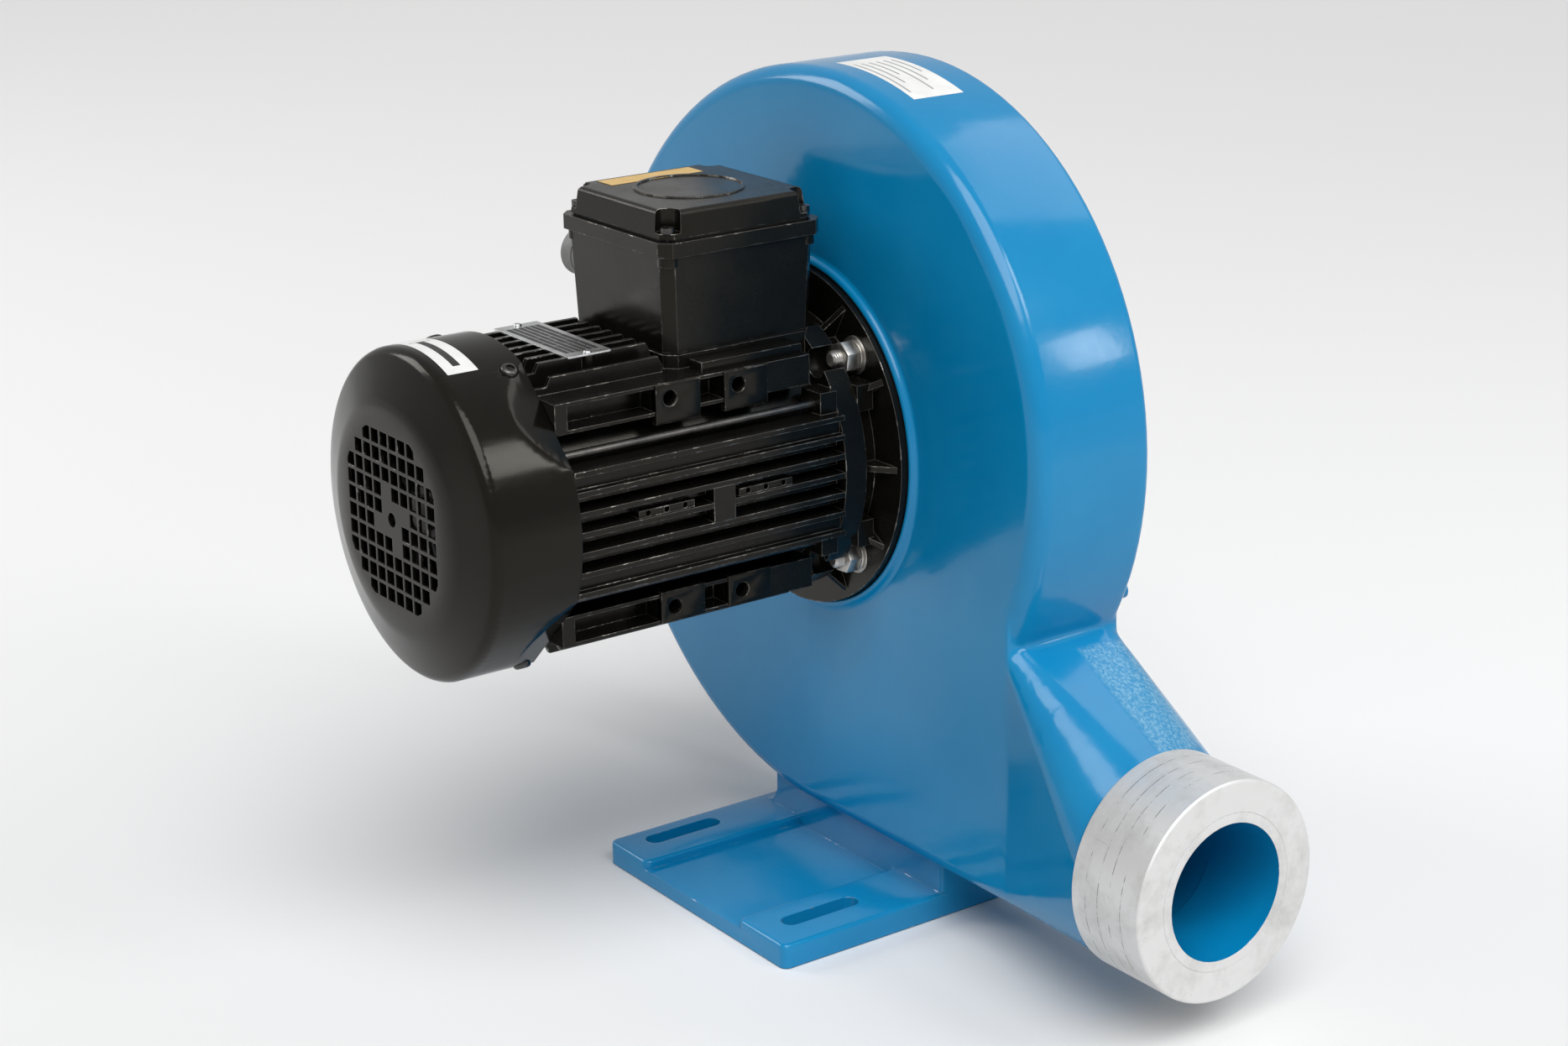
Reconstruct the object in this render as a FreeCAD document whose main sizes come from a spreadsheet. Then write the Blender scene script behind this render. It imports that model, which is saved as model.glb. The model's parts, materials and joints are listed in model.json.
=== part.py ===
import FreeCAD, Part
import math
import os
from types import SimpleNamespace

import Sketcher
from FreeCAD import Placement, Rotation, Vector

# Radial blower with a cast scroll casing, driven by a flange-mounted motor.
# Millimetres. The shaft runs along Y at axis_height, with the motor toward -Y and
# the inlet toward +Y. The outlet blows toward +X. The origin is on the foot's
# underside, below the shaft, in the plane of the casing's motor side.

SIZES = (
    # Casing
    ("axis_height", 270.0, "shaft axis above the underside of the foot"),
    ("casing_depth", 79.0, "casing along the shaft"),
    ("scroll_x", 10.0, "centre of the scroll's first arc from the axis, across"),
    ("scroll_z", 13.7, "centre of the scroll's first arc above the axis"),
    ("scroll_front_radius", 197.5, "scroll arc from the tongue to the top"),
    ("scroll_rear_radius", 228.5, "scroll arc from the top to the rear"),
    ("scroll_base_radius", 217.0, "scroll arc from the rear to the bottom"),
    ("tongue_angle", 29.0, "tongue below the first arc's centre, degrees"),
    ("rim_wall", 7.0, "wall round the scroll and the duct"),
    ("motor_wall", 8.0, "wall on the motor side"),
    ("inlet_wall", 10.0, "wall on the inlet side"),
    ("front_round", 11.0, "rounding of the motor side's edge"),
    ("back_round", 5.0, "rounding of the inlet side's edge"),
    ("outlet_height", 84.5, "outlet axis above the underside of the foot"),
    ("duct_end", 262.7, "back of the outlet collar from the shaft axis"),
    ("duct_end_half", 57.0, "half width of the duct at the collar"),
    ("duct_end_round", 50.0, "corner radius of the duct at the collar"),
    ("outlet_bore_radius", 38.4, "outlet bore"),
    ("neck_radius", 44.0, "neck that carries the collar"),
    ("collar_radius", 61.75, "outside of the outlet collar"),
    ("collar_length", 52.3, "outlet collar along the bore"),
    ("collar_chamfer", 1.2, "chamfer of the collar's edges"),
    ("boss_radius", 98.0, "raised land inside the motor wall"),
    ("boss_height", 10.0, "height of that land"),
    ("opening_radius", 178.0, "opening that the inlet cover closes"),
    # Foot
    ("foot_left", 70.0, "foot edge from the shaft, away from the outlet"),
    ("foot_right", 111.0, "foot edge from the shaft, toward the outlet"),
    ("foot_front", 99.0, "foot edge from the casing, toward the motor"),
    ("foot_plate", 9.0, "thickness of the foot between its pads"),
    ("foot_pad", 14.2, "thickness of the foot at its pads"),
    ("left_pad_width", 41.0, "left pad across"),
    ("right_pad_width", 46.0, "right pad across"),
    ("foot_round", 5.0, "corner radius of the foot"),
    ("pedestal_round", 12.0, "hollow rounding from the pedestal's side to its pad"),
    ("slot_left", 54.0, "left slot from the shaft"),
    ("slot_spacing", 140.0, "distance between the slots"),
    ("slot_middle", 56.0, "slot middle from the casing"),
    ("slot_length", 52.0, "overall slot length"),
    ("slot_width", 12.0, "slot width"),
    ("pedestal_front", 13.0, "pedestal face behind the casing's motor side"),
    ("pedestal_left", 52.0, "pedestal side from the shaft"),
    ("pedestal_core", 22.0, "depth of the pocket under the pedestal"),
    ("pedestal_wall", 9.0, "wall round that pocket"),
    # Inlet cover
    ("gasket_thickness", 1.0, "flat gaskets"),
    ("cover_radius", 190.0, "inlet cover"),
    ("cover_thickness", 8.0, "inlet cover plate"),
    ("register_depth", 3.0, "step of the cover in the opening"),
    ("cover_screw_circle", 184.0, "radius of the cover screws' circle"),
    ("cover_screw_radius", 3.0, "cover screw shank"),
    ("cover_head_radius", 5.0, "cover screw head"),
    ("cover_head_height", 6.0, "cover screw head"),
    ("inlet_bore_radius", 45.0, "inlet bore"),
    ("inlet_neck_radius", 51.0, "outside of the inlet neck"),
    ("inlet_neck_length", 48.0, "inlet neck beyond the cover plate"),
    ("nozzle_wall", 4.0, "wall of the nozzle that leads into the impeller"),
    # Motor flange
    ("flange_radius", 100.0, "motor flange"),
    ("flange_thickness", 12.0, "motor flange"),
    ("flange_recess", 4.8, "depth of the casing's seat for the flange"),
    ("recess_round", 2.5, "rounding of the lip round the flange"),
    ("flange_register", 65.0, "register radius of the flange"),
    ("register_height", 3.5, "register height"),
    ("stud_circle", 82.5, "radius of the flange studs' circle"),
    ("stud_radius", 5.0, "flange stud"),
    ("stud_stand_out", 20.5, "flange stud beyond the flange"),
    ("stud_depth", 11.0, "flange stud in the casing"),
    ("washer_radius", 11.0, "flange washer"),
    ("washer_thickness", 2.5, "flange washer"),
    ("nut_flats", 16.5, "across the flats of the flange nut"),
    ("nut_height", 9.0, "flange nut"),
    # Motor frame
    ("frame_front", 20.5, "joint of frame and flange shield from the casing"),
    ("frame_back", 213.0, "rear end of the frame from the casing"),
    ("frame_bore", 62.0, "frame bore radius"),
    ("frame_wall_radius", 70.0, "outside of the frame's barrel"),
    ("band_radius", 86.0, "end band of the frame"),
    ("band_width", 14.0, "end band of the frame"),
    ("fin_reach", 85.0, "tips of the side fins from the axis"),
    ("fin_thickness", 3.0, "side fins"),
    ("fin_pitch", 11.0, "side fins"),
    ("low_fin_reach", 77.0, "tips of the small fins between them"),
    ("side_flat_reach", 80.0, "flat bands above and below the side fins"),
    ("strip_length", 35.0, "drilled strips on the middle fins"),
    ("strip_back", 168.0, "rear end of the rear strips from the casing"),
    ("strip_spacing", 64.0, "from one strip to the next"),
    ("strip_hole", 1.6, "radius of the holes in the strips"),
    ("low_fin_thickness", 2.0, "small fins"),
    ("top_fin_reach", 81.0, "tips of the upper and lower fins from the axis"),
    ("top_fin_pitch", 11.5, "upper and lower fins"),
    ("top_fin_thickness", 2.6, "upper and lower fins"),
    ("top_fin_bevel", 5.0, "bevel at the fins' ends"),
    ("beam_reach", 67.0, "side of the corner beams from the axis"),
    ("beam_low", 50.0, "inner edge of the corner beams from the axis"),
    ("beam_high", 67.0, "outer edge of the corner beams from the axis"),
    ("beam_front", 45.0, "front end of the corner beams"),
    ("pocket_depth", 14.0, "pockets in the corner beams"),
    ("pad_back", 146.0, "rear end of the rear foot pads"),
    ("pad_length", 28.5, "foot pads of the frame along the shaft"),
    ("pad_spacing", 44.0, "from one pad's end to the next pad's end"),
    ("pad_hole", 4.2, "radius of the holes in the foot pads"),
    ("pad_hole_place", 9.0, "holes from the rear ends of the foot pads"),
    ("tie_bolt_x", 70.0, "tie bolts from the axis, across"),
    ("tie_bolt_z", 39.3, "tie bolts from the axis, up"),
    ("tie_bolt_radius", 2.5, "tie bolts"),
    ("lug_half", 7.5, "half width of the tie bolt lugs"),
    ("lug_length", 11.0, "tie bolt lugs along the bolt"),
    ("side_boss_half", 9.7, "half height of the flat boss on the side"),
    ("side_boss_back", 121.8, "rear edge of that boss"),
    ("side_boss_width", 13.8, "width of that boss"),
    ("box_seat", 75.6, "seat of the terminal box above the axis"),
    ("box_back", 124.2, "rear face of the terminal box at its seat"),
    ("box_length", 95.9, "terminal box at its seat, along the shaft"),
    ("box_half", 48.3, "half width of the terminal box at its seat"),
    ("box_corner", 6.0, "cut corners of the terminal box"),
    ("wire_hole", 15.0, "radius of the wires' way into the terminal box"),
    ("box_screw_inset", 13.0, "screws that hold the terminal box, from its outline"),
    ("box_screw_radius", 2.5, "screws that hold the terminal box"),
    ("box_screw_depth", 9.0, "those screws in the frame"),
    # Shields and bearings
    ("shield_neck_radius", 76.0, "neck between flange and frame"),
    ("rib_count", 12.0, "gussets behind the flange"),
    ("gusset_thickness", 3.5, "gussets behind the flange"),
    ("gusset_reach", 96.0, "gussets from the axis"),
    ("bearing_outer", 26.0, "bearing outside radius"),
    ("bearing_inner", 12.5, "bearing bore radius"),
    ("bearing_width", 15.0, "bearing width"),
    ("race_step", 4.2, "thickness of the bearing rings"),
    ("ball_radius", 3.7, "bearing balls"),
    ("ball_gap", 0.3, "clearance of the balls in their grooves"),
    ("ball_count", 9.0, "balls of a bearing"),
    ("cage_thickness", 2.0, "ball cages"),
    ("cage_width", 10.0, "ball cages along the shaft"),
    ("front_bearing", 17.5, "front bearing's inboard side to the casing"),
    ("rear_bearing", 205.0, "rear bearing's front side from the casing"),
    ("shield_web", 8.0, "web of the shields"),
    ("hub_wall", 7.0, "wall round the bearings"),
    ("rear_shield_width", 9.0, "rear shield's rim along the shaft"),
    ("spigot_length", 5.0, "shield spigots in the frame"),
    ("spring_thickness", 1.2, "preload spring behind the rear bearing"),
    ("bolt_seat", 3.0, "depth of the tie bolts' seats in the rear shield"),
    # Fan cowl
    ("cowl_radius", 91.0, "fan cowl"),
    ("cowl_edge", 208.0, "open edge of the cowl from the casing"),
    ("cowl_end", 269.7, "grille face from the casing"),
    ("cowl_wall", 1.8, "wall of the cowl"),
    ("cowl_face_radius", 60.0, "flat grille face"),
    ("cowl_shoulder", 259.0, "edge of the dished end from the casing"),
    ("cowl_round", 7.0, "rounding of the cowl's shoulder"),
    ("cowl_facet", 84.0, "corner facets from the axis at the open edge"),
    ("cowl_facet_tilt", 16.0, "tilt of the corner facets, degrees"),
    ("grille_radius", 52.5, "field of the grille holes"),
    ("grille_pitch", 9.6, "grille holes"),
    ("grille_hole", 7.8, "width of the grille holes"),
    ("grille_centre", 4.0, "round hole in the middle of the grille"),
    ("cowl_screw_radius", 2.5, "cowl screws"),
    ("cowl_screw_place", 217.5, "cowl screws from the casing"),
    ("cowl_screw_length", 10.0, "cowl screws from the cowl inward"),
    ("cowl_head_radius", 5.0, "heads of the cowl screws"),
    ("cowl_head_height", 3.5, "heads of the cowl screws"),
    ("cowl_screw_angle", 64.0, "cowl screws above the side, degrees"),
    # Terminal box
    ("box_height", 53.5, "terminal box wall below its rim"),
    ("box_draft", 2.0, "how far the box widens up to its rim"),
    ("box_wall", 4.0, "wall of the terminal box"),
    ("box_hollow_round", 2.5, "inner corner radius of the terminal box"),
    ("lid_post_radius", 6.0, "posts under the lid screws"),
    ("lid_hollow_round", 16.0, "corner radius inside the lid and its gasket"),
    ("rim_half", 53.1, "half width of the box rim"),
    ("rim_height", 8.2, "box rim"),
    ("lid_half", 50.0, "half width of the lid"),
    ("lid_height", 15.0, "lid above its gasket"),
    ("lid_flange", 3.0, "edge of the lid under its screws"),
    ("lid_taper", 7.0, "draft of the lid, degrees"),
    ("lid_round", 3.0, "rounding of the lid's top edge"),
    ("lid_ring_radius", 31.0, "raised ring on the lid"),
    ("lid_ring_width", 2.0, "raised ring on the lid"),
    ("lid_ring_height", 0.8, "raised ring on the lid"),
    ("lid_screw_inset", 8.5, "lid screws from the rim's edges"),
    ("lid_screw_radius", 2.0, "lid screws"),
    ("lid_screw_depth", 10.0, "lid screws in the box"),
    ("lid_head_radius", 3.8, "heads of the lid screws"),
    ("lid_head_height", 3.0, "heads of the lid screws"),
    ("lid_notch", 7.0, "radius of the lid's corner notches"),
    ("gland_place", 104.0, "cable gland from the casing"),
    ("gland_height", 109.0, "cable gland above the axis"),
    ("gland_thread", 10.0, "threaded part of the cable gland"),
    ("gland_radius", 14.0, "cable gland outside the box"),
    ("gland_length", 23.0, "cable gland outside the box"),
    ("gland_bore", 6.5, "bore of the cable gland"),
    ("board_half", 26.0, "half width of the terminal board"),
    ("board_length", 40.0, "terminal board along the shaft"),
    ("board_height", 9.0, "terminal board"),
    ("terminal_radius", 2.5, "terminal studs"),
    ("terminal_pitch", 16.0, "terminal studs"),
    ("terminal_height", 14.0, "terminal studs above the board"),
    # Rating plate
    ("plate_half", 38.5, "half width of the rating plate"),
    ("plate_length", 27.5, "rating plate along the shaft"),
    ("plate_middle", 167.5, "middle of the rating plate from the casing"),
    ("plate_thick", 1.0, "rating plate"),
    ("plate_rivet", 36.0, "rivets of the rating plate from its middle"),
    ("plate_post", 3.5, "posts under the rivets"),
    ("rivet_radius", 1.2, "rivets of the rating plate"),
    ("rivet_length", 5.0, "rivets of the rating plate"),
    # Shaft, rotor and stator
    ("shaft_radius", 12.0, "drive end of the shaft"),
    ("shaft_end", 54.8, "drive end of the shaft past the casing's face"),
    ("shaft_middle_radius", 15.0, "shaft under the rotor core"),
    ("fan_seat_radius", 10.0, "shaft under the cooling fan"),
    ("shaft_tail", 253.0, "rear end of the shaft from the casing"),
    ("core_front", 66.0, "front face of the rotor and stator cores"),
    ("core_length", 100.0, "rotor and stator cores"),
    ("air_gap", 0.4, "gap between rotor and stator"),
    ("rotor_radius", 39.6, "rotor core"),
    ("end_ring_length", 9.0, "rotor end rings"),
    ("winding_radius", 57.0, "outside of the end windings"),
    ("winding_length", 22.0, "end windings beyond the core"),
    ("stator_slots", 24.0, "slots of the stator core"),
    ("slot_half", 2.2, "half width of the stator slots"),
    ("slot_gap", 0.3, "windings in the stator slots"),
    ("spacer_start", 9.5, "motor side of the spacer sleeve"),
    ("seal_length", 7.4, "shaft seal along the shaft"),
    # Impeller
    ("impeller_radius", 172.0, "impeller"),
    ("impeller_back", 22.0, "backplate's motor side from the casing's face"),
    ("plate_thickness", 4.0, "impeller backplate"),
    ("shroud_thickness", 2.5, "impeller shroud"),
    ("exit_width", 20.0, "blade height at the rim"),
    ("eye_width", 33.0, "blade height at the eye"),
    ("eye_radius", 57.0, "inside of the impeller's eye"),
    ("eye_collar", 6.0, "collar of the eye along the shaft"),
    ("blade_count", 12.0, "impeller blades"),
    ("blade_thickness", 3.0, "impeller blades"),
    ("blade_root", 62.0, "inner end of the blades"),
    ("blade_curve", 130.0, "radius of the blades' curve"),
    ("blade_lean", 38.0, "lean of the blades at their root, degrees"),
    ("blade_inset", 2.0, "blade tips inside the rim"),
    ("hub_radius", 25.0, "impeller hub"),
    ("hub_front", 19.5, "motor side of the hub"),
    ("hub_length", 36.0, "impeller hub"),
    ("key_width", 8.0, "shaft key"),
    ("key_length", 30.0, "shaft key"),
    ("key_height", 7.0, "shaft key"),
    ("key_seat", 4.0, "depth of the key in the shaft"),
    ("sleeve_radius", 16.0, "spacer between bearing and hub"),
    ("seal_radius", 24.0, "outside of the shaft seal"),
    ("impeller_washer", 20.0, "washer that holds the impeller"),
    ("impeller_bolt", 4.0, "bolt that holds the impeller"),
    ("bolt_head", 6.5, "head of that bolt"),
    ("bolt_depth", 24.0, "that bolt below its head"),
    # Cooling fan
    ("fan_front", 226.0, "fan disc from the casing"),
    ("fan_radius", 74.0, "cooling fan"),
    ("fan_blades", 9.0, "cooling fan blades"),
    ("fan_disc", 2.5, "disc and blades of the cooling fan"),
    ("fan_hub_wall", 6.0, "hub of the cooling fan"),
    ("fan_clip_width", 1.5, "clip behind the cooling fan"),
    ("fan_width", 22.0, "cooling fan blades along the shaft"),
    # Running and fitting clearances
    ("fit_gap", 0.02, "pieces that sit on one another"),
    ("shaft_gap", 0.35, "bores that the shaft turns in"),
    ("hole_gap", 0.3, "bolts and studs in clearance holes"),
    ("seat_gap", 0.3, "faces that lie against each other"),
)


class Size:
    """A length or count with its value and the sheet expression that gives it."""

    def __init__(self, value, text):
        self.value = value
        self.text = text

    @staticmethod
    def of(thing):
        return thing if isinstance(thing, Size) else Size(float(thing), repr(float(thing)))

    def __add__(self, other):
        other = Size.of(other)
        return Size(self.value + other.value, f"({self.text} + {other.text})")

    def __sub__(self, other):
        other = Size.of(other)
        return Size(self.value - other.value, f"({self.text} - {other.text})")

    def __mul__(self, other):
        other = Size.of(other)
        return Size(self.value * other.value, f"({self.text} * {other.text})")

    def __truediv__(self, other):
        other = Size.of(other)
        return Size(self.value / other.value, f"({self.text} / {other.text})")

    def __neg__(self):
        return Size(-self.value, f"(0 - {self.text})")

    __radd__ = __add__

    def __rmul__(self, other):
        return Size.of(other) * self

    def __rsub__(self, other):
        return Size.of(other) - self


def cosine(angle):
    return Size(math.cos(math.radians(angle.value)), f"cos({angle.text})")


def sine(angle):
    return Size(math.sin(math.radians(angle.value)), f"sin({angle.text})")


doc = FreeCAD.newDocument("Blower")
sheet = doc.addObject("Spreadsheet::Sheet", "Dims")
d = SimpleNamespace()
for row, (name, value, meaning) in enumerate(SIZES, start=1):
    sheet.set(f"A{row}", meaning)
    sheet.set(f"B{row}", repr(value))
    sheet.setAlias(f"B{row}", name)
    setattr(d, name, Size(value, f"Dims.{name}"))
doc.recompute()

ZERO = Size(0.0, "0")
NODES = []
PLANE_OF = {}


def bind(thing, field, size):
    """Tie one property to the sheet."""
    thing.setExpression(field, Size.of(size).text)


def new_body(label, height=ZERO):
    """A body whose origin lies on the Z axis, at the given height."""
    body = doc.addObject("PartDesign::Body", label)
    body.Label = label
    body.AllowCompound = True
    bind(body, "Placement.Base.z", height)
    NODES.append(body)
    return body


def axis_body(label):
    """A body whose own Y axis is the shaft axis."""
    return new_body(label, d.axis_height)


def new_sketch(body, plane, level=ZERO):
    """A sketch parallel to one of the body's planes, at that level along its axis."""
    sketch = body.newObject("Sketcher::SketchObject", body.Label + "_sketch")
    origin = [item for item in body.Origin.OriginFeatures if item.Role == plane + "_Plane"]
    sketch.AttachmentSupport = [(origin[0], "")]
    sketch.MapMode = "FlatFace"
    bind(sketch, "AttachmentOffset.Base.z", -Size.of(level) if plane == "XZ" else level)
    PLANE_OF[sketch.Name] = plane
    return sketch


def places(geometry, end, x, y):
    """Constraints that hold one point of a sketch at (x, y), with their sizes."""
    held = []
    for kind, place, axis in (("DistanceX", Size.of(x), -2), ("DistanceY", Size.of(y), -1)):
        if abs(place.value) < 1e-9:
            held.append((Sketcher.Constraint("PointOnObject", geometry, end, axis), None))
        else:
            held.append((Sketcher.Constraint(kind, -1, 1, geometry, end, place.value), place))
    return held


def hold(sketch, held):
    """Add the constraints together, then tie those that have a size to the sheet."""
    indices = sketch.addConstraint([constraint for constraint, size in held])
    for index, (constraint, size) in zip(indices, held):
        if size is not None:
            bind(sketch, f"Constraints[{index}]", size)


def polygon(sketch, corners):
    """A closed outline of straight lines through the corners."""
    points = [Vector(Size.of(x).value, Size.of(y).value, 0) for x, y in corners]
    first = sketch.GeometryCount
    count = len(points)
    sketch.addGeometry([Part.LineSegment(points[index], points[(index + 1) % count])
                        for index in range(count)], False)
    held = []
    for index in range(count):
        following = first + (index + 1) % count
        held.append((Sketcher.Constraint("Coincident", first + index, 2, following, 1), None))
    for index, (x, y) in enumerate(corners):
        held += places(first + index, 1, x, y)
    hold(sketch, held)


def rectangle(sketch, left, right, low, high):
    """A rectangle between two x and two y values."""
    polygon(sketch, ((left, low), (right, low), (right, high), (left, high)))


def circle(sketch, x, y, radius):
    """A circle with its centre and radius held."""
    x, y, radius = Size.of(x), Size.of(y), Size.of(radius)
    index = sketch.addGeometry(
        Part.Circle(Vector(x.value, y.value, 0), Vector(0, 0, 1), radius.value), False)
    held = places(index, 3, x, y)
    held.append((Sketcher.Constraint("Radius", index, radius.value), radius))
    hold(sketch, held)


def rounded(sketch, centres, radius):
    """The outline round two or more circles of one radius, counter-clockwise."""
    radius = Size.of(radius)
    middles = [Vector(Size.of(x).value, Size.of(y).value, 0) for x, y in centres]
    count = len(middles)
    outward = []
    for index in range(count):
        along = middles[(index + 1) % count] - middles[index]
        outward.append(Vector(along.y, -along.x, 0).normalize())
    first = sketch.GeometryCount
    pieces = []
    held = []
    for index, (x, y) in enumerate(centres):
        before, after = outward[index - 1], outward[index]
        start = math.atan2(before.y, before.x)
        sweep = (math.atan2(after.y, after.x) - start) % (2 * math.pi)
        ring = Part.Circle(middles[index], Vector(0, 0, 1), radius.value)
        pieces.append(Part.ArcOfCircle(ring, start, start + sweep))
        pieces.append(Part.LineSegment(
            middles[index] + after * radius.value,
            middles[(index + 1) % count] + after * radius.value))
        arc = first + 2 * index
        following = first + (2 * index + 2) % (2 * count)
        held += places(arc, 3, x, y)
        held.append((Sketcher.Constraint("Radius", arc, radius.value), radius))
        held.append((Sketcher.Constraint("Tangent", arc, 2, arc + 1, 1), None))
        held.append((Sketcher.Constraint("Tangent", arc + 1, 2, following, 1), None))
    sketch.addGeometry(pieces, False)
    hold(sketch, held)


def four_corners(sketch, left, right, low, high):
    """One rectangle in each quarter round the axis."""
    for across in (1, -1):
        for up in (1, -1):
            x = sorted((left * across, right * across), key=lambda size: size.value)
            z = sorted((low * up, high * up), key=lambda size: size.value)
            rectangle(sketch, x[0], x[1], z[0], z[1])


def four_circles(sketch, x, z, radius, height=ZERO):
    """One circle in each quarter round the axis, which lies at the height."""
    for across in (1, -1):
        for up in (1, -1):
            circle(sketch, x * across, height + z * up, radius)


def rounded_box(sketch, left, right, low, high, radius):
    """A rectangle with equal round corners."""
    radius = Size.of(radius)
    rounded(sketch, ((left + radius, low + radius), (right - radius, low + radius),
                     (right - radius, high - radius), (left + radius, high - radius)), radius)


def pad(body, sketch, length, toward=1):
    """Add material from the sketch, toward + or - along its plane's axis."""
    feature = body.newObject("PartDesign::Pad", body.Label + "_pad")
    feature.Profile = sketch
    feature.Refine = False
    bind(feature, "Length", length)
    plane = PLANE_OF[sketch.Name]
    feature.Reversed = (toward > 0) == (plane == "XZ")
    return feature


def pocket(body, sketch, length, toward=1):
    """Cut from the sketch, toward + or - along its plane's axis."""
    doc.recompute()
    before = body.Tip.Shape.Volume
    feature = body.newObject("PartDesign::Pocket", body.Label + "_pocket")
    feature.Profile = sketch
    feature.Refine = False
    bind(feature, "Length", length)
    plane = PLANE_OF[sketch.Name]
    feature.Reversed = (toward > 0) != (plane == "XZ")
    check_cut(feature, before)
    return feature


def check_cut(feature, before):
    """Stop if a cut took nothing away."""
    doc.recompute()
    if feature.Shape.Volume > before - 1e-3:
        raise ValueError(feature.Name + " cuts nothing")


def revolve(body, corners, axis="V_Axis", cut=False, plane="XY"):
    """Turn an outline of (radius, place along the shaft) about the body's Y axis."""
    sketch = new_sketch(body, plane)
    polygon(sketch, corners)
    return turn(body, sketch, axis, cut)


def turn(body, sketch, axis="V_Axis", cut=False):
    """Turn a finished sketch about one of its axes."""
    before = 0.0
    if cut:
        doc.recompute()
        before = body.Tip.Shape.Volume
    kind = "Groove" if cut else "Revolution"
    feature = body.newObject("PartDesign::" + kind, body.Label + "_" + kind.lower())
    feature.Profile = sketch
    feature.ReferenceAxis = (sketch, [axis])
    feature.Angle = 360
    if cut:
        check_cut(feature, before)
    return feature


def ring(label, inner, outer, start, length):
    """A plain ring about the shaft, from start toward +Y."""
    body = axis_body(label)
    sketch = new_sketch(body, "XZ", start)
    circle(sketch, 0, 0, outer)
    circle(sketch, 0, 0, inner)
    pad(body, sketch, length)
    return body


def combine(kind, label, parts):
    """One node from several solids: a Part::MultiFuse, or a Part::Cut of the first two."""
    node = doc.addObject("Part::" + kind, label)
    if kind == "Cut":
        node.Base, node.Tool = parts
    else:
        node.Shapes = parts
    node.Label = label
    for part in parts:
        if part in NODES:
            NODES.remove(part)
    NODES.append(node)
    return node


def polar(body, features, count):
    """Copies of the features round the shaft axis."""
    pattern = body.newObject("PartDesign::PolarPattern", body.Label + "_polar")
    pattern.Originals = features
    pattern.Refine = False
    axes = [item for item in body.Origin.OriginFeatures if item.Role == "Y_Axis"]
    pattern.Axis = (axes[0], [""])
    pattern.Angle = 360
    bind(pattern, "Occurrences", count)
    body.Tip = pattern
    return pattern


def linear(body, features, role, length, count):
    """Copies of the features along an axis of the body, length from first to last."""
    pattern = body.newObject("PartDesign::LinearPattern", body.Label + "_row")
    pattern.Originals = features
    pattern.Refine = False
    axes = [item for item in body.Origin.OriginFeatures if item.Role == role]
    pattern.Direction = (axes[0], [""])
    bind(pattern, "Length", length)
    pattern.Occurrences = count
    body.Tip = pattern
    return pattern


def edges_where(shape, test):
    """Names of the edges that pass the test."""
    return [f"Edge{index}" for index, edge in enumerate(shape.Edges, start=1) if test(edge)]


def dress(body, kind, size, test):
    """Fillet or chamfer the edges of the body that pass the test."""
    doc.recompute()
    base = body.Tip
    names = edges_where(base.Shape, test)
    if not names:
        raise ValueError(body.Label + " has no such edge")
    feature = body.newObject("PartDesign::" + kind, body.Label + "_" + kind.lower())
    feature.Base = (base, names)
    bind(feature, "Radius" if kind == "Fillet" else "Size", size)
    return feature


def flat_at(edge, axis, level):
    """True where the whole edge lies at one level of an axis (0 X, 1 Y, 2 Z)."""
    box = edge.BoundBox
    low, high = ((box.XMin, box.XMax), (box.YMin, box.YMax), (box.ZMin, box.ZMax))[axis]
    return abs(low - level) < 0.01 and abs(high - level) < 0.01


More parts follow.
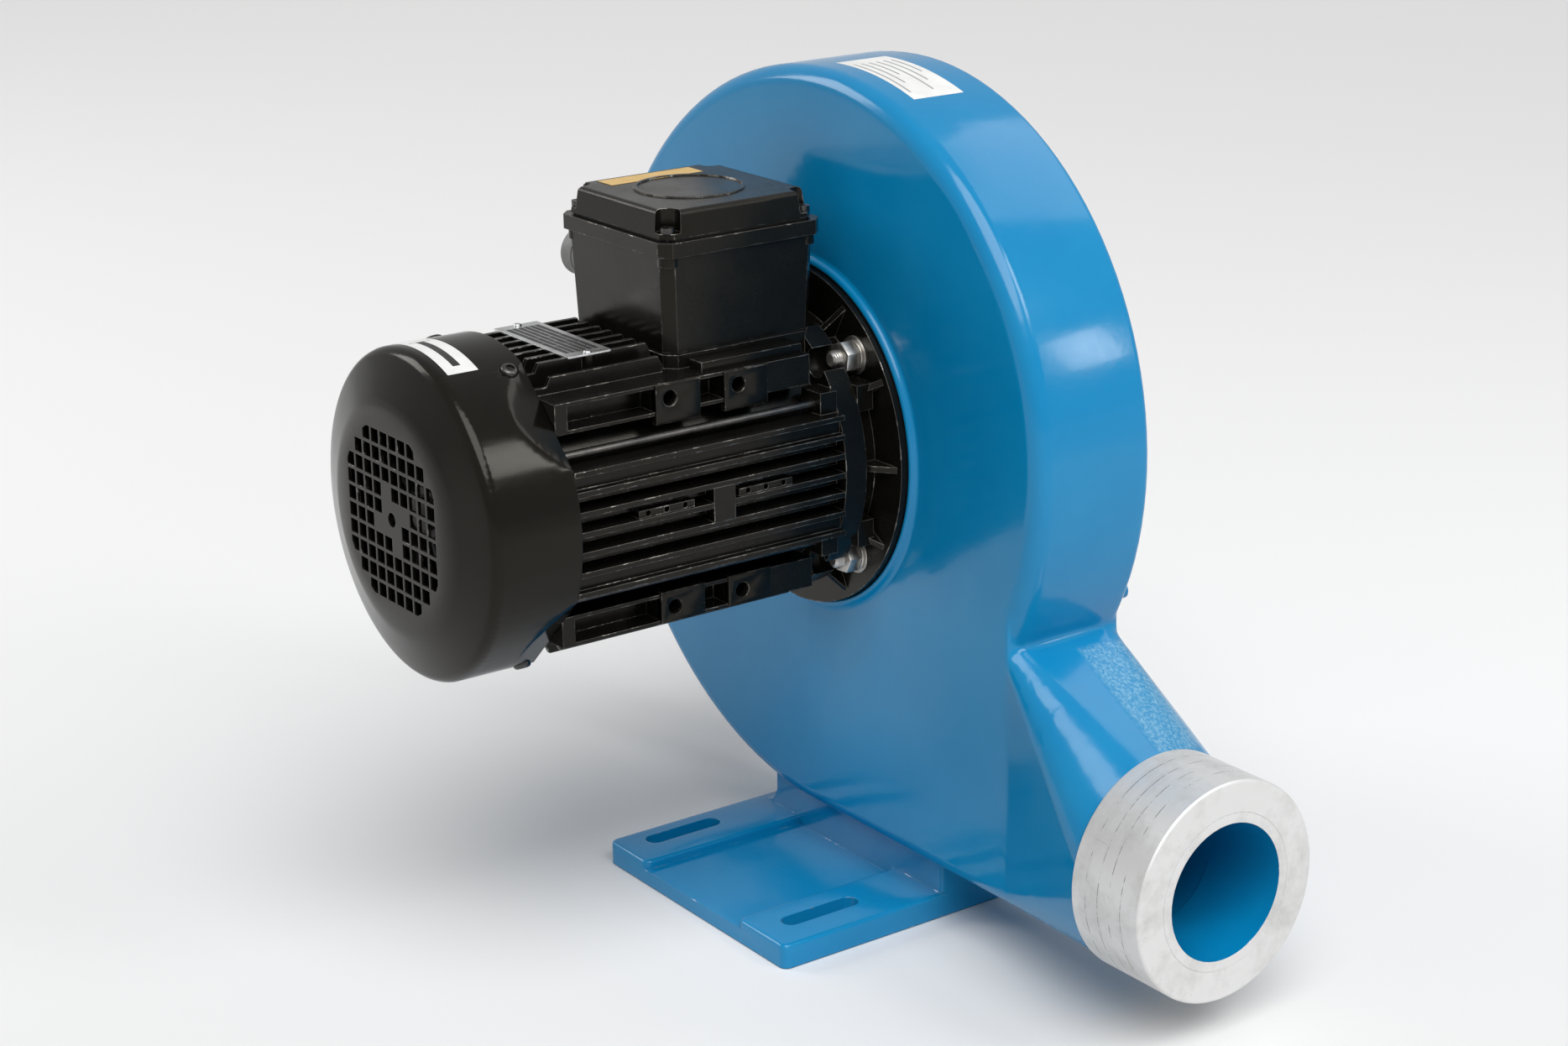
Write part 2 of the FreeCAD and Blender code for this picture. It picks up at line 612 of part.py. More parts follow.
def scroll_outline(sketch, wall, closing):
    """Three tangent arcs from the tongue round to the bottom, and the duct's start.

    wall is taken off all round, and closing adds the inner corner under the tongue.
    """
    centre_x = d.scroll_x
    centre_z = d.axis_height + d.scroll_z
    radii = [size - wall for size in
             (d.scroll_front_radius, d.scroll_rear_radius, d.scroll_base_radius)]
    rear_z = centre_z + d.scroll_front_radius - d.scroll_rear_radius
    base_x = centre_x - d.scroll_rear_radius + d.scroll_base_radius
    centres = [(centre_x, centre_z), (centre_x, rear_z), (base_x, rear_z)]
    lean = math.radians(d.tongue_angle.value)
    spans = [(-lean, math.pi / 2), (math.pi / 2, math.pi), (math.pi, 3 * math.pi / 2)]
    for (x, z), radius, (start, end) in zip(centres, radii, spans):
        arc = Part.Circle(Vector(x.value, z.value, 0), Vector(0, 0, 1), radius.value)
        sketch.addGeometry(Part.ArcOfCircle(arc, start, end), False)
    bottom = rear_z - radii[2]
    tongue_x = centre_x + radii[0] * cosine(d.tongue_angle)
    tongue_z = centre_z - radii[0] * sine(d.tongue_angle)
    corners = [(base_x, bottom), (DUCT_START, bottom), (tongue_x, tongue_z)]
    if closing:
        corners.insert(2, (DUCT_START, TONGUE_HEIGHT - wall))
    points = [Vector(x.value, z.value, 0) for x, z in corners]
    for start, end in zip(points, points[1:]):
        sketch.addGeometry(Part.LineSegment(start, end), False)
    last = sketch.GeometryCount - 1
    held = places(0, 3, centre_x, centre_z)
    for index in range(3):
        held.append((Sketcher.Constraint("Radius", index, radii[index].value), radii[index]))
    fixed = [("Vertical", 0, 3, 0, 2), ("Tangent", 0, 2, 1, 1), ("Horizontal", 1, 3, 1, 2),
             ("Tangent", 1, 2, 2, 1), ("Tangent", 2, 2, 3, 1), ("Horizontal", 3),
             ("Vertical", 4), ("Coincident", last, 2, 0, 1)]
    fixed += [("Coincident", index, 2, index + 1, 1) for index in range(3, last)]
    held += [(Sketcher.Constraint(*words), None) for words in fixed]
    held.append((Sketcher.Constraint("DistanceX", -1, 1, 3, 2, DUCT_START.value), DUCT_START))
    if closing:
        low = TONGUE_HEIGHT - wall
        held.append((Sketcher.Constraint("DistanceY", -1, 1, 4, 2, low.value), low))
        held.append((Sketcher.Constraint("DistanceX", -1, 1, 0, 1, tongue_x.value), tongue_x))
    hold(sketch, held)


# The duct starts below the tongue, where the first arc ends.
DUCT_START = d.scroll_x + d.scroll_front_radius * cosine(d.tongue_angle)
TONGUE_HEIGHT = d.axis_height + d.scroll_z - d.scroll_front_radius * sine(d.tongue_angle)
SCROLL_BOTTOM = (d.axis_height + d.scroll_z + d.scroll_front_radius - d.scroll_rear_radius
                 - d.scroll_base_radius)
OUTLET_Y = d.casing_depth / 2
SEAT = d.flange_recess


def duct_loft(body, wall, end_half, end_round, kind):
    """The duct from the tongue to the collar, outside or inside."""
    start = new_sketch(body, "YZ", DUCT_START)
    side_wall = wall
    rounded_box(start, side_wall, d.casing_depth - side_wall, SCROLL_BOTTOM + wall,
                TONGUE_HEIGHT - wall, d.front_round - wall / 2)
    end = new_sketch(body, "YZ", d.duct_end)
    rounded_box(end, OUTLET_Y - end_half, OUTLET_Y + end_half,
                d.outlet_height - end_half, d.outlet_height + end_half, end_round)
    loft = body.newObject("PartDesign::" + kind, body.Label + "_duct")
    loft.Profile = start
    loft.Sections = [end]
    loft.Ruled = True
    return loft


def stud_hole(body, level, radius, depth, circle_radius, count, toward=1):
    """One hole of a circle of holes round the shaft, half a pitch above the side."""
    sketch = new_sketch(body, "XZ", level)
    half_pitch = Size.of(180.0) / count
    circle(sketch, circle_radius * cosine(half_pitch), circle_radius * sine(half_pitch), radius)
    return pocket(body, sketch, depth, toward)


def scroll_housing():
    """The cast casing: scroll, duct, neck, pedestal and foot, hollow inside."""
    body = new_body("scroll_housing")
    outer = new_sketch(body, "XZ", ZERO)
    scroll_outline(outer, ZERO, False)
    pad(body, outer, d.casing_depth)
    doc.recompute()

    def front_rim(edge):
        box = edge.BoundBox
        return flat_at(edge, 1, 0) and box.XMax < DUCT_START.value + 0.1 and not (
            abs(box.XMax - box.XMin) < 0.01)

    def back_rim(edge):
        box = edge.BoundBox
        return flat_at(edge, 1, d.casing_depth.value) and not abs(box.XMax - box.XMin) < 0.01

    dress(body, "Fillet", d.front_round, front_rim)
    dress(body, "Fillet", d.back_round, back_rim)
    duct_loft(body, ZERO, d.duct_end_half, d.duct_end_round, "AdditiveLoft")
    neck = new_sketch(body, "YZ", d.duct_end)
    circle(neck, OUTLET_Y, d.outlet_height, d.neck_radius)
    pad(body, neck, d.collar_length)
    foot = new_sketch(body, "XY")
    rounded_box(foot, -d.foot_left, d.foot_right, -d.foot_front, d.casing_depth, d.foot_round)
    pad(body, foot, d.foot_plate)
    for left, right in ((-d.foot_left, d.left_pad_width - d.foot_left),
                        (d.foot_right - d.right_pad_width, d.foot_right)):
        pad_sketch = new_sketch(body, "XY")
        rounded_box(pad_sketch, left, right, -d.foot_front, d.casing_depth, d.foot_round)
        pad(body, pad_sketch, d.foot_pad)
    pedestal = new_sketch(body, "XZ", d.pedestal_front)
    rectangle(pedestal, -d.pedestal_left, d.foot_right, ZERO, SCROLL_BOTTOM + d.front_round)
    pad(body, pedestal, d.casing_depth - d.pedestal_front)

    def pad_side(edge):
        box = edge.BoundBox
        return (flat_at(edge, 2, d.foot_pad.value) and flat_at(edge, 0, -d.pedestal_left.value)
                and box.YMax > d.casing_depth.value - 1)

    dress(body, "Fillet", d.pedestal_round, pad_side)
    inner = new_sketch(body, "XZ", d.motor_wall)
    scroll_outline(inner, d.rim_wall, True)
    pocket(body, inner, d.casing_depth - d.motor_wall - d.inlet_wall)
    duct_loft(body, d.motor_wall, d.outlet_bore_radius, d.outlet_bore_radius - 1,
              "SubtractiveLoft")
    bore = new_sketch(body, "YZ", d.duct_end)
    circle(bore, OUTLET_Y, d.outlet_height, d.outlet_bore_radius)
    pocket(body, bore, d.collar_length)
    land = new_sketch(body, "XZ", d.motor_wall)
    circle(land, 0, d.axis_height, d.boss_radius)
    pad(body, land, d.boss_height)
    recess = new_sketch(body, "XZ", ZERO)
    circle(recess, 0, d.axis_height, d.flange_radius + d.seat_gap)
    pocket(body, recess, SEAT)
    register = new_sketch(body, "XZ", SEAT)
    circle(register, 0, d.axis_height, d.flange_register + d.fit_gap)
    pocket(body, register, d.register_height + d.seat_gap)
    seal = new_sketch(body, "XZ", SEAT)
    circle(seal, 0, d.axis_height, d.seal_radius)
    pocket(body, seal, d.boss_height + d.motor_wall)
    opening = new_sketch(body, "XZ", d.casing_depth - d.inlet_wall - 1)
    circle(opening, 0, d.axis_height, d.opening_radius)
    pocket(body, opening, d.inlet_wall + 1)
    studs = new_sketch(body, "XZ", SEAT)
    reach = d.stud_circle * cosine(Size.of(45.0))
    four_circles(studs, reach, reach, d.stud_radius + d.fit_gap, d.axis_height)
    pocket(body, studs, d.stud_depth + d.seat_gap)
    screws = new_sketch(body, "XZ", d.casing_depth)
    for step in range(8):
        angle = Size.of(22.5 + 45 * step)
        circle(screws, d.cover_screw_circle * cosine(angle),
               d.axis_height + d.cover_screw_circle * sine(angle),
               d.cover_screw_radius + d.fit_gap)
    pocket(body, screws, d.inlet_wall - 1, -1)
    slots = new_sketch(body, "XY")
    half = (d.slot_length - d.slot_width) / 2
    for x in (-d.slot_left, d.slot_spacing - d.slot_left):
        rounded(slots, ((x, half - d.slot_middle), (x, -half - d.slot_middle)),
                d.slot_width / 2)
    pocket(body, slots, d.foot_pad)
    hollow = new_sketch(body, "XY")
    rounded_box(hollow, d.pedestal_wall - d.pedestal_left, d.foot_right - d.pedestal_wall,
                d.pedestal_front + d.pedestal_wall, d.casing_depth - d.pedestal_wall,
                d.foot_round)
    pocket(body, hollow, d.pedestal_core)

    def lip(edge):
        curve = edge.Curve
        return (flat_at(edge, 1, 0) and hasattr(curve, "Radius")
                and abs(curve.Radius - (d.flange_radius + d.seat_gap).value) < 0.01)

    dress(body, "Fillet", d.recess_round, lip)
    return body




def outlet_collar():
    """The machined ring shrunk on the duct's neck."""
    body = new_body("outlet_collar")
    sketch = new_sketch(body, "YZ", d.duct_end)
    circle(sketch, OUTLET_Y, d.outlet_height, d.collar_radius)
    circle(sketch, OUTLET_Y, d.outlet_height, d.neck_radius + d.fit_gap)
    pad(body, sketch, d.collar_length)
    outer = (d.collar_radius.value - 0.1)

    def rims(edge):
        curve = edge.Curve
        return hasattr(curve, "Radius") and curve.Radius > outer

    dress(body, "Chamfer", d.collar_chamfer, rims)
    return body


def bolt_circle(label, level, shank, shank_length, head, head_height, circle_radius, count,
                socket=0.0, toward=1):
    """Equal screws round the shaft: heads at the level, shanks the other way."""
    body = axis_body(label)
    half_pitch = Size.of(180.0) / count
    x = circle_radius * cosine(half_pitch)
    z = circle_radius * sine(half_pitch)
    parts = []
    head_sketch = new_sketch(body, "XZ", level)
    circle(head_sketch, x, z, head)
    parts.append(pad(body, head_sketch, head_height, toward))
    shank_sketch = new_sketch(body, "XZ", level)
    circle(shank_sketch, x, z, shank)
    parts.append(pad(body, shank_sketch, shank_length, -toward))
    if socket:
        socket_sketch = new_sketch(body, "XZ", Size.of(level) + head_height * toward)
        hexagon(socket_sketch, x, z, Size.of(socket))
        parts.append(pocket(body, socket_sketch, head_height / 2, -toward))
    polar(body, parts, count)
    return body


def hexagon(sketch, x, z, flats):
    """A hexagon across the given flats."""
    reach = flats / 2 / cosine(Size.of(30.0))
    corners = []
    for index in range(6):
        turn_to = Size.of(60.0 * index)
        corners.append((x + reach * cosine(turn_to), z + reach * sine(turn_to)))
    polygon(sketch, corners)


COVER_FACE = d.casing_depth + d.gasket_thickness
COVER_BACK = COVER_FACE + d.cover_thickness
EYE_START = d.impeller_back + d.plate_thickness + d.eye_width
EYE_END = EYE_START + d.eye_collar


def inlet_cover():
    """The round cover with its register, inlet neck and the nozzle into the impeller."""
    body = axis_body("inlet_cover")
    lip = d.eye_radius - d.nozzle_wall + 1
    neck_end = COVER_BACK + d.inlet_neck_length
    register = d.opening_radius - d.hole_gap
    revolve(body, (
        (d.inlet_bore_radius, neck_end),
        (d.inlet_bore_radius, COVER_BACK),
        (lip - d.nozzle_wall, EYE_END - 3),
        (lip, EYE_END - 3),
        (lip + d.nozzle_wall, COVER_FACE),
        (register - 10, COVER_FACE),
        (register - 10, COVER_FACE - d.register_depth),
        (register, COVER_FACE - d.register_depth),
        (register, COVER_FACE),
        (d.cover_radius, COVER_FACE),
        (d.cover_radius, COVER_BACK),
        (d.inlet_neck_radius, COVER_BACK),
        (d.inlet_neck_radius, neck_end)))

    def neck_foot(edge):
        return (flat_at(edge, 1, COVER_BACK.value)
                and abs(edge.BoundBox.XMax - d.inlet_neck_radius.value) < 0.1)

    def rim(edge):
        return (flat_at(edge, 1, COVER_BACK.value)
                and abs(edge.BoundBox.XMax - d.cover_radius.value) < 0.1)

    dress(body, "Fillet", d.front_round / 2, neck_foot)
    dress(body, "Fillet", d.collar_chamfer, rim)
    hole = stud_hole(body, COVER_BACK, d.cover_screw_radius + d.hole_gap,
                      d.cover_thickness, d.cover_screw_circle, 8, -1)
    polar(body, [hole], 8)
    return body


def cover_gasket():
    """The flat ring under the inlet cover."""
    body = ring("cover_gasket", d.opening_radius, d.cover_radius - 1, d.casing_depth,
                d.gasket_thickness)
    hole = stud_hole(body, COVER_FACE, d.cover_screw_radius + d.hole_gap,
                      d.gasket_thickness, d.cover_screw_circle, 8, -1)
    polar(body, [hole], 8)
    return body


FLANGE_FRONT = d.flange_recess - d.flange_thickness
FLANGE_REGISTER = d.flange_recess + d.register_height
BEARING_IN = -(d.front_bearing + d.bearing_width)


def drive_end_shield():
    """The motor's flange with its register, ribs, bolt lugs and bearing seat."""
    body = axis_body("drive_end_shield")
    joint = -d.frame_front
    bore = d.bearing_inner + d.shaft_gap
    revolve(body, (
        (bore, FLANGE_REGISTER),
        (bore, -d.front_bearing),
        (d.bearing_outer + d.fit_gap, -d.front_bearing),
        (d.bearing_outer + d.fit_gap, BEARING_IN),
        (d.bearing_outer + d.hub_wall, BEARING_IN),
        (d.bearing_outer + d.hub_wall, joint + d.shield_web),
        (d.frame_bore - d.shield_web, joint + d.shield_web),
        (d.frame_bore - d.shield_web, joint - d.spigot_length),
        (d.frame_bore - d.fit_gap, joint - d.spigot_length),
        (d.frame_bore - d.fit_gap, joint),
        (d.shield_neck_radius, joint),
        (d.shield_neck_radius, FLANGE_FRONT),
        (d.flange_radius, FLANGE_FRONT),
        (d.flange_radius, SEAT),
        (d.flange_register, SEAT),
        (d.flange_register, FLANGE_REGISTER)))
    web = new_sketch(body, "XY", -(d.gusset_thickness / 2))
    polygon(web, ((d.shield_neck_radius - 2, FLANGE_FRONT), (d.gusset_reach, FLANGE_FRONT),
                  (d.shield_neck_radius + 3, joint), (d.shield_neck_radius - 2, joint)))
    polar(body, [pad(body, web, d.gusset_thickness)], d.rib_count)
    lugs = new_sketch(body, "XZ", joint)
    four_corners(lugs, d.tie_bolt_x - d.lug_half - 4, d.tie_bolt_x + d.lug_half,
                 d.tie_bolt_z - d.lug_half, d.tie_bolt_z + d.lug_half)
    pad(body, lugs, d.lug_length)
    holes = new_sketch(body, "XZ", joint)
    four_circles(holes, d.tie_bolt_x, d.tie_bolt_z, d.tie_bolt_radius + d.fit_gap)
    pocket(body, holes, d.lug_length)
    studs = stud_hole(body, FLANGE_FRONT, d.stud_radius + d.hole_gap, d.flange_thickness,
                      d.stud_circle, 4)
    seats = stud_hole(body, FLANGE_FRONT, d.washer_radius + d.seat_gap, FLANGE_FRONT - joint,
                      d.stud_circle, 4, -1)
    polar(body, [studs, seats], 4)
    return body


FIN_BACK = d.seat_gap - d.cowl_edge


def corner_flats(body, feature, start, reach, depth):
    """Four flats at 45 degrees where the cowl's corner facets pass."""
    sketch = new_sketch(body, "XZ", start)
    sketch.AttachmentOffset = Placement(Vector(), Rotation(Vector(0, 0, 1), 45))
    rectangle(sketch, reach, reach + d.cowl_radius, -d.cowl_radius, d.cowl_radius)
    polar(body, [feature(body, sketch, depth, -1)], 4)


def motor_frame():
    """The finned barrel with its bands, beams, foot pads, lugs and box seat."""
    whole = combine("MultiFuse", "frame_whole", [frame_barrel(), side_fins(), frame_fins()])
    frame = combine("Cut", "motor_frame", [whole, frame_hollows()])
    frame.Refine = True
    return frame


def frame_barrel():
    """The barrel with its end bands, the terminal box's seat and the plate's posts."""
    body = axis_body("frame_barrel")
    front = -d.frame_front
    fins_front = front - d.band_width
    band = d.band_radius
    revolve(body, (
        (ZERO, front), (band, front), (band, fins_front), (d.frame_wall_radius, fins_front),
        (d.frame_wall_radius, FIN_BACK), (band, FIN_BACK), (band, -d.frame_back),
        (ZERO, -d.frame_back)))
    seat = new_sketch(body, "XY", d.beam_low)
    cut_corners(seat, d.box_half, d.box_back, d.box_length, d.box_corner)
    pad(body, seat, d.box_seat - d.gasket_thickness - d.beam_low)
    posts = new_sketch(body, "XY", d.frame_bore + 2)
    for across in (1, -1):
        circle(posts, d.plate_rivet * across, -d.plate_middle, d.plate_post)
    pad(body, posts, d.top_fin_reach - d.frame_bore - 2)
    return body


def side_fins():
    """The rows of fins at the sides with the flat bands, bosses and drilled strips."""
    body = axis_body("frame_side_fins")
    fins_front = -d.frame_front - d.band_width
    run = fins_front - FIN_BACK
    inside = d.frame_wall_radius - d.band_width
    for first, count, reach, thickness in (
            (d.fin_pitch * -3, 7, d.fin_reach, d.fin_thickness),
            (d.fin_pitch * -2.5, 6, d.low_fin_reach, d.low_fin_thickness)):
        fins = new_sketch(body, "XZ", fins_front)
        for across in (1, -1):
            side_fin(fins, across, inside, reach, first, thickness)
        linear(body, [pad(body, fins, run, -1)], "Z_Axis", d.fin_pitch * (count - 1), count)
    flats = new_sketch(body, "XZ", fins_front)
    four_corners(flats, inside, d.side_flat_reach, d.fin_pitch * 2, d.fin_pitch * 3)
    pad(body, flats, run, -1)
    boss = new_sketch(body, "XZ", d.side_boss_width - d.side_boss_back)
    strips = new_sketch(body, "XZ", d.strip_length - d.strip_back)
    for across in (1, -1):
        side_fin(boss, across, inside, d.fin_reach + d.hole_gap, ZERO, d.side_boss_half * 2)
        side_fin(strips, across, inside, d.fin_reach - 2, d.fin_pitch / 4, d.fin_pitch / 2)
    pad(body, boss, d.side_boss_width, -1)
    linear(body, [pad(body, strips, d.strip_length, -1)], "Y_Axis", d.strip_spacing, 2)
    return body


def frame_fins():
    """The upper and lower fins, the corner beams and the lugs of the tie bolts."""
    body = axis_body("frame_fins")
    fins_front = -d.frame_front - d.band_width
    beams = new_sketch(body, "XZ", -d.beam_front)
    four_corners(beams, d.top_fin_pitch * 3.5, d.beam_reach, d.beam_low, d.beam_high)
    pad(body, beams, -d.beam_front - FIN_BACK, -1)
    lugs = new_sketch(body, "XZ", fins_front)
    four_corners(lugs, d.frame_wall_radius - 10, d.tie_bolt_x + d.lug_half,
                 d.tie_bolt_z - d.lug_half, d.tie_bolt_z + d.lug_half)
    pad(body, lugs, d.lug_length, -1)
    top_fins(body, d.top_fin_pitch * -3, d.top_fin_reach, d.top_fin_pitch * 6, 7)
    top_fins(body, d.top_fin_pitch * -4, d.top_fin_reach - d.top_fin_bevel,
             d.top_fin_pitch * 8, 2)
    return body


def top_fins(body, first, reach, length, count):
    """A row of fins behind the terminal box and the same row below the barrel."""
    back = FIN_BACK
    bevel = d.top_fin_bevel
    for up, front in ((1, -d.box_back - 4), (-1, -d.beam_front)):
        sketch = new_sketch(body, "YZ", first - d.top_fin_thickness / 2)
        polygon(sketch, (
            (back, d.beam_low * up), (front, d.beam_low * up),
            (front, (reach - bevel) * up), (front - bevel / 2, reach * up),
            (back + bevel * 2, reach * up), (back + bevel * 1.5, (reach - bevel) * up),
            (back, (reach - bevel) * up)))
        linear(body, [pad(body, sketch, d.top_fin_thickness)], "X_Axis", length, count)


def frame_hollows():
    """Everything that is cut from the frame, as solids: bore, pockets and holes."""
    body = axis_body("frame_hollows")
    front = -d.frame_front
    bore = new_sketch(body, "XZ", front)
    circle(bore, 0, 0, d.frame_bore)
    four_circles(bore, d.tie_bolt_x, d.tie_bolt_z, d.tie_bolt_radius + d.hole_gap)
    pad(body, bore, d.frame_back - d.frame_front, -1)
    reach = d.stud_circle * cosine(Size.of(45.0))
    scallops = new_sketch(body, "XZ", front)
    four_circles(scallops, reach, reach, d.nut_flats / 2)
    pad(body, scallops, d.band_width, -1)
    under_box = new_sketch(body, "XY", d.box_seat - d.gasket_thickness)
    rectangle(under_box, -d.rim_half, d.rim_half, front - d.band_width - 1, front)
    pad(body, under_box, d.band_radius - d.frame_wall_radius)
    for back_end, length in (
            (d.cowl_edge - 8, d.cowl_edge - 8 - d.pad_back),
            (d.pad_back - d.pad_length, d.pad_spacing - d.pad_length)):
        hollow = new_sketch(body, "XZ", -back_end)
        four_corners(hollow, d.beam_reach - d.pocket_depth, d.beam_reach + 1,
                     d.beam_low + 2, d.beam_high - 2)
        pad(body, hollow, length)
    wires = new_sketch(body, "XY", d.box_seat)
    circle(wires, 0, d.box_length / 2 - d.box_back, d.wire_hole)
    pad(body, wires, d.box_seat - d.frame_bore / 2, -1)
    fixing = new_sketch(body, "XY", d.box_seat)
    box_corners(fixing, d.box_screw_inset, d.box_screw_radius + d.fit_gap)
    pad(body, fixing, d.box_screw_depth + d.gasket_thickness * 2, -1)
    rivets = new_sketch(body, "XY", d.top_fin_reach)
    for across in (1, -1):
        circle(rivets, d.plate_rivet * across, -d.plate_middle, d.rivet_radius + d.fit_gap)
    pad(body, rivets, d.rivet_length + 1, -1)
    for across in (1, -1):
        side_holes(body, across)
    corner_flats(body, pad, FIN_BACK, d.cowl_facet - d.cowl_wall - d.seat_gap,
                 d.frame_back + FIN_BACK)
    return body


def side_holes(body, across):
    """The holes of the foot pads and of the drilled strips on one side."""
    middle = (d.beam_low + d.beam_high) / 2
    pads = new_sketch(body, "YZ", d.beam_reach * across)
    for y in (d.pad_hole_place - d.pad_back, d.pad_hole_place + d.pad_spacing - d.pad_back):
        for up in (1, -1):
            circle(pads, y, middle * up, d.pad_hole)
    pad(body, pads, d.pocket_depth, -across)
    strips = new_sketch(body, "YZ", (d.fin_reach - 2) * across)
    for first in (d.strip_back, d.strip_back - d.strip_spacing):
        for step in (1, 3, 5):
            circle(strips, d.strip_length * step / 6 - first, d.fin_pitch / 4 + 0.7,
                   d.strip_hole)
    pad(body, strips, d.low_fin_reach / 8, -across)


def cut_corners(sketch, half, back, length, corner):
    """The terminal box's outline: a rectangle with cut corners, back toward -Y."""
    low, high = -back, length - back
    polygon(sketch, (
        (corner - half, low), (half - corner, low), (half, low + corner),
        (half, high - corner), (half - corner, high), (corner - half, high),
        (-half, high - corner), (-half, low + corner)))


def box_corners(sketch, inset, radius):
    """One circle near each corner of the terminal box, inset from its seat outline."""
    for across in (1, -1):
        for y in (inset - d.box_back, d.box_length - d.box_back - inset):
            circle(sketch, (d.box_half - inset) * across, y, radius)


def side_fin(sketch, across, inside, reach, z, thickness):
    """One fin's section on the +X or -X side."""
    x = sorted((inside * across, reach * across), key=lambda size: size.value)
    rectangle(sketch, x[0], x[1], z - thickness / 2, z + thickness / 2)


SPRING_SEAT = -(d.rear_bearing + d.bearing_width + d.spring_thickness + d.seat_gap)
SHIELD_BACK = SPRING_SEAT - 4


def rear_end_shield():
    """The shield that holds the rear bearing and carries the cowl on its rim."""
    body = axis_body("rear_end_shield")
    joint = -d.frame_back
    rim = d.cowl_radius - d.cowl_wall - d.fit_gap
    rim_back = joint - d.rear_shield_width
    revolve(body, (
        (d.bearing_outer + d.fit_gap, -d.rear_bearing),
        (d.bearing_outer + d.hub_wall, -d.rear_bearing),
        (d.bearing_outer + d.hub_wall, joint - 1),
        (d.frame_bore - d.shield_web, joint - 1),
        (d.frame_bore - d.shield_web, joint + d.spigot_length),
        (d.frame_bore - d.fit_gap, joint + d.spigot_length),
        (d.frame_bore - d.fit_gap, joint),
        (rim, joint),
        (rim, rim_back),
        (d.bearing_outer + d.hub_wall, SHIELD_BACK),
        (d.fan_seat_radius + d.shaft_gap, SHIELD_BACK),
        (d.fan_seat_radius + d.shaft_gap, SPRING_SEAT),
        (d.bearing_outer + d.fit_gap, SPRING_SEAT)))
    seats = new_sketch(body, "XZ", SHIELD_BACK)
    four_circles(seats, d.tie_bolt_x, d.tie_bolt_z, d.lug_half)
    pocket(body, seats, rim_back + d.bolt_seat - SHIELD_BACK, 1)
    holes = new_sketch(body, "XZ", joint)
    four_circles(holes, d.tie_bolt_x, d.tie_bolt_z, d.tie_bolt_radius + d.hole_gap)
    pocket(body, holes, d.rear_shield_width, -1)
    corner_flats(body, pocket, joint, d.cowl_facet - d.cowl_wall - d.seat_gap,
                 joint - SHIELD_BACK)
    screw_holes(body, d.cowl_screw_radius + d.fit_gap)
    return body


def radial_sketch(body, angle, level):
    """A sketch square to a radius of the shaft axis, at the level along it."""
    sketch = new_sketch(body, "YZ")
    sketch.AttachmentOffset = Placement(Vector(), Rotation(Vector(1, 0, 0), -angle.value))
    bind(sketch, "AttachmentOffset.Base.y", sine(angle) * level)
    bind(sketch, "AttachmentOffset.Base.z", cosine(angle) * level)
    return sketch


def screw_holes(body, radius):
    """Four radial holes for the cowl screws."""
    for angle in (d.cowl_screw_angle, 180 - d.cowl_screw_angle):
        sketch = radial_sketch(body, angle, d.cowl_radius)
        circle(sketch, -d.cowl_screw_place, ZERO, radius)
        polar(body, [pocket(body, sketch, d.cowl_screw_length + 1, -1)], 2)


def cowl_screws():
    """Four socket screws that hold the cowl on the rear shield."""
    body = axis_body("cowl_screws")
    for angle in (d.cowl_screw_angle, 180 - d.cowl_screw_angle):
        parts = []
        for radius, length, toward in ((d.cowl_head_radius, d.cowl_head_height, 1),
                                       (d.cowl_screw_radius, d.cowl_screw_length, -1)):
            sketch = radial_sketch(body, angle, d.cowl_radius)
            circle(sketch, -d.cowl_screw_place, ZERO, radius)
            parts.append(pad(body, sketch, length, toward))
        socket = radial_sketch(body, angle, d.cowl_radius + d.cowl_head_height)
        hexagon(socket, -d.cowl_screw_place, ZERO, d.cowl_head_radius)
        parts.append(pocket(body, socket, d.cowl_head_height / 2, -1))
        polar(body, parts, 2)
    return body


def tie_bolts():
    """Four long bolts that hold the shields on the frame."""
    body = axis_body("tie_bolts")
    head_seat = d.bolt_seat - d.frame_back - d.rear_shield_width
    shanks = new_sketch(body, "XZ", head_seat)
    four_circles(shanks, d.tie_bolt_x, d.tie_bolt_z, d.tie_bolt_radius)
    pad(body, shanks, -head_seat - d.frame_front + d.lug_length)
    heads = new_sketch(body, "XZ", head_seat)
    four_circles(heads, d.tie_bolt_x, d.tie_bolt_z, d.tie_bolt_radius * 1.7)
    pad(body, heads, d.tie_bolt_radius * 1.4, -1)
    return body


def flange_hardware():
    """Studs in the casing, and the washers and nuts that clamp the flange."""
    studs = axis_body("flange_studs")
    sketch = new_sketch(studs, "XZ", FLANGE_FRONT - d.stud_stand_out)
    four_circles(sketch, d.stud_circle * cosine(Size.of(45.0)),
                 d.stud_circle * sine(Size.of(45.0)), d.stud_radius)
    pad(studs, sketch, d.stud_stand_out + d.flange_thickness + d.stud_depth)
    washers = axis_body("flange_washers")
    sketch = new_sketch(washers, "XZ", FLANGE_FRONT)
    four_circles(sketch, d.stud_circle * cosine(Size.of(45.0)),
                 d.stud_circle * sine(Size.of(45.0)), d.washer_radius)
    four_circles(sketch, d.stud_circle * cosine(Size.of(45.0)),
                 d.stud_circle * sine(Size.of(45.0)), d.stud_radius + d.fit_gap)
    pad(washers, sketch, d.washer_thickness, -1)
    nuts = axis_body("flange_nuts")
    sketch = new_sketch(nuts, "XZ", FLANGE_FRONT - d.washer_thickness)
    x = d.stud_circle * cosine(Size.of(45.0))
    z = d.stud_circle * sine(Size.of(45.0))
    hexagon(sketch, x, z, d.nut_flats)
    circle(sketch, x, z, d.stud_radius + d.fit_gap)
    polar(nuts, [pad(nuts, sketch, d.nut_height, -1)], 4)


